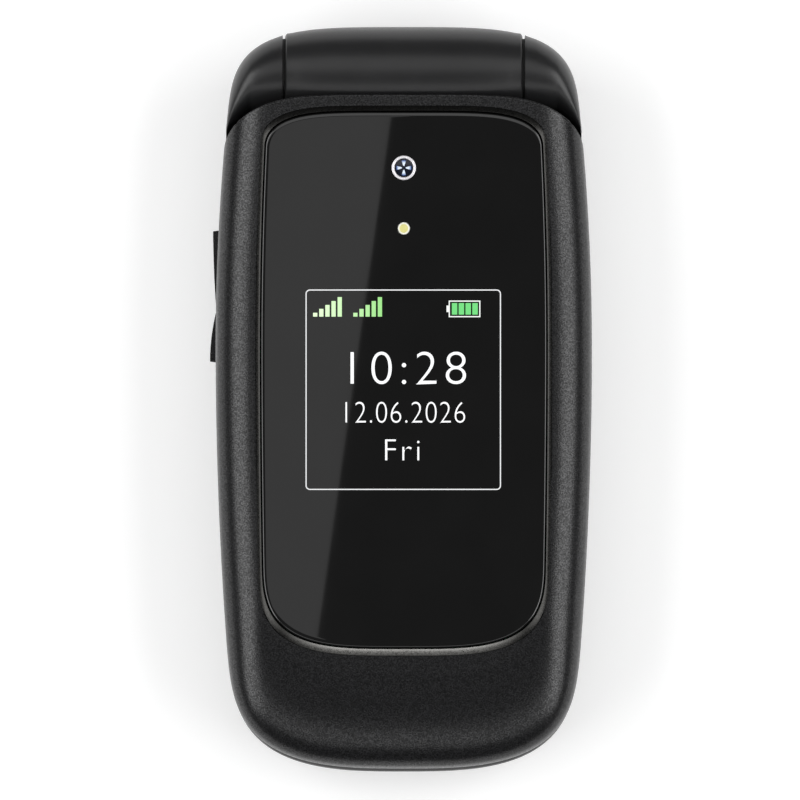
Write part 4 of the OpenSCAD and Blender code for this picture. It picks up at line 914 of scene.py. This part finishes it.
def plates(rects, z):
    """Thin flat bars, each given by two corners."""
    r = np.asarray(rects, float)
    x0, y0, x1, y1 = r.T
    low, high = np.full_like(x0, z), np.full_like(x0, z + PRINT)
    corners = np.stack([np.stack([x, y, h], -1) for h in (low, high)
                        for x, y in ((x0, y0), (x1, y0), (x1, y1), (x0, y1))], 1)
    faces = np.array([[3, 2, 1, 0], [4, 5, 6, 7], [0, 1, 5, 4], [1, 2, 6, 5], [2, 3, 7, 6], [3, 0, 4, 7]])
    base = np.arange(len(r))[:, None, None] * 8
    return corners.reshape(-1, 3), (base + faces[None]).reshape(-1, 4)


PX = 0.14094  # millimetres for one pixel of the photograph
PX0 = (403.8, 399.5)  # pixel over the origin


def at_px(x, y):
    """Place of a pixel, in millimetres."""
    return (x - PX0[0]) * PX, (PX0[1] - y) * PX


def frame_bars(x0, y0, x1, y1, w):
    """Four bars of width w round the inside of a rectangle."""
    return [(x0, y0, x1, y0 + w), (x0, y1 - w, x1, y1), (x0, y0, x0 + w, y1), (x1 - w, y0, x1, y1)]


# Places on the outer display, in pixels of the photograph
SCREEN_LEFT_TOP, SCREEN_RIGHT_FOOT = (306, 290), (500.5, 489.5)
CLOCK_AT, DATE_AT, DAY_AT = (404, 384.5), (403, 423), (402, 460.5)
BARS_LEFT, BAR_PITCH, BAR_W, BAR_FOOT, BAR_TOP, BAR_RISE = (313.5, 353.5), 6.1, 4.2, 317, 313.2, 3.9
CELL_LEFT, CELL_PITCH, CELL_W, CELL_FOOT, CELL_TOP = 451.6, 6.8, 5.4, 315, 303.5
BATTERY_LEFT_FOOT, BATTERY_RIGHT_TOP = (448.5, 317.6), (480, 301)
CAP_LEFT_FOOT, CAP_RIGHT_TOP = (446.3, 312.5), (448.5, 306)


def make_screen():
    """Lit content of the outer display: its thin frame, two rows of signal bars, a battery
    sign, the time, the date and the day."""
    z = CLOSED_T - 0.015

    def sign(name, points, faces, finish):
        wear(mesh_object(name, points, faces), "display_module", "lid", finish)

    text = [text_points("10:28", 6.8, *at_px(*CLOCK_AT), z, -0.11, 1.03, 1.18),
            text_points("12.06.2026", 4.45, *at_px(*DATE_AT), z, -0.09, 0.86, 1.05),
            text_points("Fri", 4.5, *at_px(*DAY_AT), z, -0.07, 1.0, 1.15)]
    sign("screen_text", *merge(text), "screen_white")
    x0, y1 = at_px(*SCREEN_LEFT_TOP)
    x1, y0 = at_px(*SCREEN_RIGHT_FOOT)
    line = [round_rect(x0 + d, y0 + d, x1 - d, y1 - d, 0.6 - d) for d in (0, 0.15)]
    wear(piece("screen_frame", [(band(*line, z), True)]), "display_module", "lid", "screen_line")
    bars = [at_px(x + i * BAR_PITCH, BAR_FOOT) + at_px(x + i * BAR_PITCH + BAR_W, BAR_TOP - i * BAR_RISE)
            for x in BARS_LEFT for i in range(5)]
    sign("screen_bars", *plates(bars, z), "screen_bar")
    lefts = [CELL_LEFT + i * CELL_PITCH for i in range(4)]
    cells = [at_px(x, CELL_FOOT) + at_px(x + CELL_W, CELL_TOP) for x in lefts]
    sign("screen_cells", *plates(cells, z), "screen_green")
    outline = frame_bars(*at_px(*BATTERY_LEFT_FOOT), *at_px(*BATTERY_RIGHT_TOP), 0.16)
    cap = at_px(*CAP_LEFT_FOOT) + at_px(*CAP_RIGHT_TOP)
    sign("screen_battery", *plates(outline + [cap], z), "screen_pale")


def arrow(x, y, turn, size, z):
    """A flat triangle that points away from the middle of the pad."""
    a = turn + np.radians([0, 128, 232])
    tip = np.stack([x + size * np.cos(a), y + size * np.sin(a)], 1)
    points = np.concatenate([np.hstack([tip, np.full((3, 1), h)]) for h in (z, z + PRINT)])
    return points, np.array([[2, 1, 0, 0], [3, 4, 5, 5], [0, 1, 4, 3], [1, 2, 5, 4], [2, 0, 3, 5]])


def make_legends():
    """Plain digits and signs printed on the keys, a bar on each soft key, four arrows on the
    four-way pad, and a ring on each of the two call keys."""
    z = KEY_TOP - PRINT / 2

    def printed(node, obj):
        wear(obj, SLOT_OF[node], node, "legend_white")

    signs = [(f"key_{n}", n) for n in "123456789"] + [("key_star", "*"), ("key_0", "0"), ("key_hash", "#")]
    for (node, sign), (x, y) in zip(signs, DIGITS):
        drop = 3.6 if sign == "*" else 2.0
        printed(node, mesh_object("legend_" + node, *text_points(sign, 5.6, x, y - drop, z)))
    for node, (x, y) in zip(("soft_left_key", "soft_right_key", "call_key", "end_key"), SOFT):
        if node.startswith("soft"):
            bar = plates([(x - 1.6, y - 0.25, x + 1.6, y + 0.25)], z)
            printed(node, mesh_object("legend_" + node, *bar))
        else:
            line = [round_rect(x - r, y - r, x + r, y + r, r, 12) for r in (1.5, 1.05)]
            printed(node, piece("legend_" + node, [(band(*line, z), True)]))
    arrows = [arrow(6.9 * math.cos(a), NAV_Y + 6.9 * math.sin(a), a, 0.75, z)
              for a in np.radians([0, 90, 180, 270])]
    wear(mesh_object("legend_nav", *merge(arrows)), SLOT_OF["nav_ring"], "nav_ring", "legend_dark")


# ---- stage

FLOOR_Z = -0.03
GLARE_EDGE = (-0.0112, 0.0055)  # metres; where the window's glare ends
GLARE_W, GLARE_L, GLARE_REACH, GLARE_TURN = 0.08, 0.2, 1.0, -8.05


def make_stage():
    """Floor, lamps, one of them for the window to mirror, world and camera."""
    scene = bpy.context.scene
    s = scene.phone_stage
    a = np.linspace(0, 2 * np.pi, 64, endpoint=False)
    rings = np.stack([np.stack([r * np.cos(a), r * np.sin(a), FLOOR_Z + 0 * a], -1)
                      for r in (0.0, 150, 1000, 9000)])
    floor = piece("floor", [(rings, True)])
    mat, nt, bsdf, pos = new_finish("floor_paper")
    feed(nt, bsdf, Base_Color=tinted(nt, noise(nt, pos, 60, 2), (0.8, 0.8, 0.8), (0.84, 0.84, 0.84)),
         Roughness=0.9, Specular_IOR_Level=0.0)
    path = new_node(nt, "LightPath").outputs
    rays = calc(nt, "MAXIMUM", path["Is Camera Ray"], path["Is Glossy Ray"])
    rays = calc(nt, "MAXIMUM", rays, path["Is Transmission Ray"])
    glow = new_node(nt, "Emission", Strength=calc(nt, "MULTIPLY", rays, s.floor_lift))
    add = new_node(nt, "AddShader")
    for socket, shader in zip(add.inputs, (bsdf, glow)):
        nt.links.new(shader.outputs[0], socket)
    nt.links.new(add.outputs[0], nt.nodes["Material Output"].inputs[0])
    floor.data.materials.append(mat)

    for name, azimuth in (("lamp_left", 180), ("lamp_right", 0)):
        lamp(name, azimuth, 48, 0.75, 0.9, 0.4, s.side_level)
    lamp("lamp_head", 90, 25, 0.9, 0.9, 0.58, s.head_level)
    lamp("lamp_foot", -90, 35.5, 0.9, 0.9, 0.24, s.foot_level)
    glare = lamp("lamp_glare", 0, 0, GLARE_REACH, GLARE_W, GLARE_L, s.glare_level)
    turn = math.radians(GLARE_TURN)
    glare.location = (GLARE_EDGE[0] - GLARE_W / 2 * math.cos(turn),
                      GLARE_EDGE[1] - GLARE_W / 2 * math.sin(turn), GLARE_REACH + CLOSED_T * 0.001)
    glare.rotation_euler = (0, 0, turn)

    world = bpy.data.worlds.new("studio")
    scene.world = world
    world.use_nodes = True
    feed(world.node_tree, world.node_tree.nodes["Background"], Color=(1, 1, 1, 1), Strength=s.world_level)

    cam = bpy.data.cameras.new("camera")
    reach = s.camera_distance
    cam.sensor_width = 36
    cam.lens = 36 * reach / (800 * PX * 0.001)
    cam.clip_end = 50
    view = placed("camera", cam)
    view.location = ((400 - PX0[0]) * PX * 0.001, (PX0[1] - 400) * PX * 0.001, reach + 0.012)
    scene.camera = view
    scene.view_settings.view_transform = "Standard"


def lamp(name, azimuth, tilt, reach, along, across, level):
    """A soft box that faces the phone, tilt degrees off the vertical; its power follows from
    its size and its brightness."""
    light = bpy.data.lights.new(name, "AREA")
    light.shape = "RECTANGLE"
    light.size, light.size_y = along, across
    light.energy = math.pi * along * across * level
    obj = placed(name, light)
    a, t = math.radians(azimuth), math.radians(tilt)
    at = Vector((math.sin(t) * math.cos(a), math.sin(t) * math.sin(a), math.cos(t))) * reach
    obj.location = at
    obj.rotation_euler = (-at).to_track_quat("-Z", "Y").to_euler()
    return obj


# ---- settings

def colour(name, text, value):
    return FloatVectorProperty(name=name, description=text, default=value, subtype="COLOR", size=3,
                               min=0, max=1)


def amount(name, text, value, low=0.0, **more):
    return FloatProperty(name=name, description=text, default=value, min=low, **more)


class PhoneFinishSettings(bpy.types.PropertyGroup):
    """Colours and roughness of the visible finishes."""

    cover_colour: colour("Cover", "Paint of the lid cover", (0.006, 0.006, 0.0065))
    housing_colour: colour("Housings", "Moulded black of the housings and the barrel", (0.012, 0.012, 0.0125))
    window_colour: colour("Window", "Print under the window", (0.004, 0.004, 0.004))
    trim_colour: colour("Trim", "Trim round the window", (0.07, 0.069, 0.066))
    cover_roughness: amount("Cover roughness", "Roughness of the cover's paint", 0.28, 0.1, max=0.9,
                            subtype="FACTOR")
    fleck: amount("Fleck", "How much brighter the paint's flecks are", 1.7, max=4)


class PhoneStageSettings(bpy.types.PropertyGroup):
    """Light and camera."""

    side_level: amount("Side lamps", "Brightness of each side lamp", 3.6)
    head_level: amount("Head lamp", "Brightness of the lamp past the hinge", 1.0)
    foot_level: amount("Foot lamp", "Brightness of the lamp past the foot", 1.4)
    glare_level: amount("Glare lamp", "Brightness of the lamp that the window mirrors", 0.55)
    world_level: amount("World", "Strength of the even grey world", 0.1, max=1)
    floor_lift: amount("Floor lift", "Light that the floor shows by itself", 0.3, max=1)
    camera_distance: amount("Camera distance", "Height of the camera over the lid", 1.5, 0.3, unit="LENGTH")


class PHONE_OT_cover(bpy.types.Operator):
    """Makes the lid cover"""

    bl_idname = "phone.cover"
    bl_label = "Lid cover"

    def execute(self, context):
        wear(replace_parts(piece("lid_cover_shell", cover_parts(), 30), "lid_cover"), "satin_black", "lid")
        return {"FINISHED"}


class PHONE_OT_frame(bpy.types.Operator):
    """Makes the lid's inner frame with the hinge barrel"""

    bl_idname = "phone.frame"
    bl_label = "Lid frame and barrel"

    def execute(self, context):
        make_frame()
        return {"FINISHED"}


class PHONE_OT_housings(bpy.types.Operator):
    """Makes the front housing with its knuckles, the rear housing and the battery cover"""

    bl_idname = "phone.housings"
    bl_label = "Housings and battery cover"

    def execute(self, context):
        make_housings()
        return {"FINISHED"}


class PHONE_OT_window(bpy.types.Operator):
    """Makes the window and its trim"""

    bl_idname = "phone.window"
    bl_label = "Window and trim"

    def execute(self, context):
        make_window()
        return {"FINISHED"}


class PHONE_OT_eyes(bpy.types.Operator):
    """Makes the camera's rim and glass"""

    bl_idname = "phone.eyes"
    bl_label = "Camera"

    def execute(self, context):
        make_eyes()
        return {"FINISHED"}


class PHONE_OT_legends(bpy.types.Operator):
    """Makes the printed digits and signs of the keypad"""

    bl_idname = "phone.legends"
    bl_label = "Key legends"

    def execute(self, context):
        make_legends()
        return {"FINISHED"}


class PHONE_OT_screen(bpy.types.Operator):
    """Makes the lit content of the outer display"""

    bl_idname = "phone.screen"
    bl_label = "Outer display content"

    def execute(self, context):
        make_screen()
        return {"FINISHED"}


class PHONE_OT_nodes(bpy.types.Operator):
    """Gives every carried solid its finish"""

    bl_idname = "phone.nodes"
    bl_label = "Finish of the solids"

    def execute(self, context):
        for name, obj in frame["nodes"].items():
            mat = finish_of(SLOT_OF[name])
            if not obj.material_slots:
                obj.data.materials.append(mat)
            for place in obj.material_slots:
                place.material = mat
        return {"FINISHED"}


class PHONE_OT_stage(bpy.types.Operator):
    """Sets the floor, lamps, world and camera"""

    bl_idname = "phone.stage"
    bl_label = "Stage"

    def execute(self, context):
        make_stage()
        return {"FINISHED"}


OPERATORS = (PHONE_OT_stage, PHONE_OT_nodes, PHONE_OT_housings, PHONE_OT_frame, PHONE_OT_cover,
             PHONE_OT_window, PHONE_OT_eyes, PHONE_OT_screen, PHONE_OT_legends)


class PHONE_PT_panel(bpy.types.Panel):
    """Lists the pieces and their settings"""

    bl_idname = "PHONE_PT_panel"
    bl_label = "Phone"
    bl_space_type = "VIEW_3D"
    bl_region_type = "UI"
    bl_category = "Phone"

    def draw(self, context):
        layout = self.layout
        for cls in OPERATORS:
            layout.operator(cls.bl_idname)
        for group in (context.scene.phone_finish, context.scene.phone_stage):
            box = layout.box()
            for key in group.__annotations__:
                box.prop(group, key)


CLASSES = (PhoneFinishSettings, PhoneStageSettings, *OPERATORS, PHONE_PT_panel)


def register():
    for cls in CLASSES:
        bpy.utils.register_class(cls)
    bpy.types.Scene.phone_finish = bpy.props.PointerProperty(type=PhoneFinishSettings)
    bpy.types.Scene.phone_stage = bpy.props.PointerProperty(type=PhoneStageSettings)


def unregister():
    del bpy.types.Scene.phone_stage
    del bpy.types.Scene.phone_finish
    for cls in reversed(CLASSES):
        bpy.utils.unregister_class(cls)


def main():
    register()
    for cls in OPERATORS:
        group, name = cls.bl_idname.split(".")
        getattr(getattr(bpy.ops, group), name)()


if __name__ == "__main__":
    main()
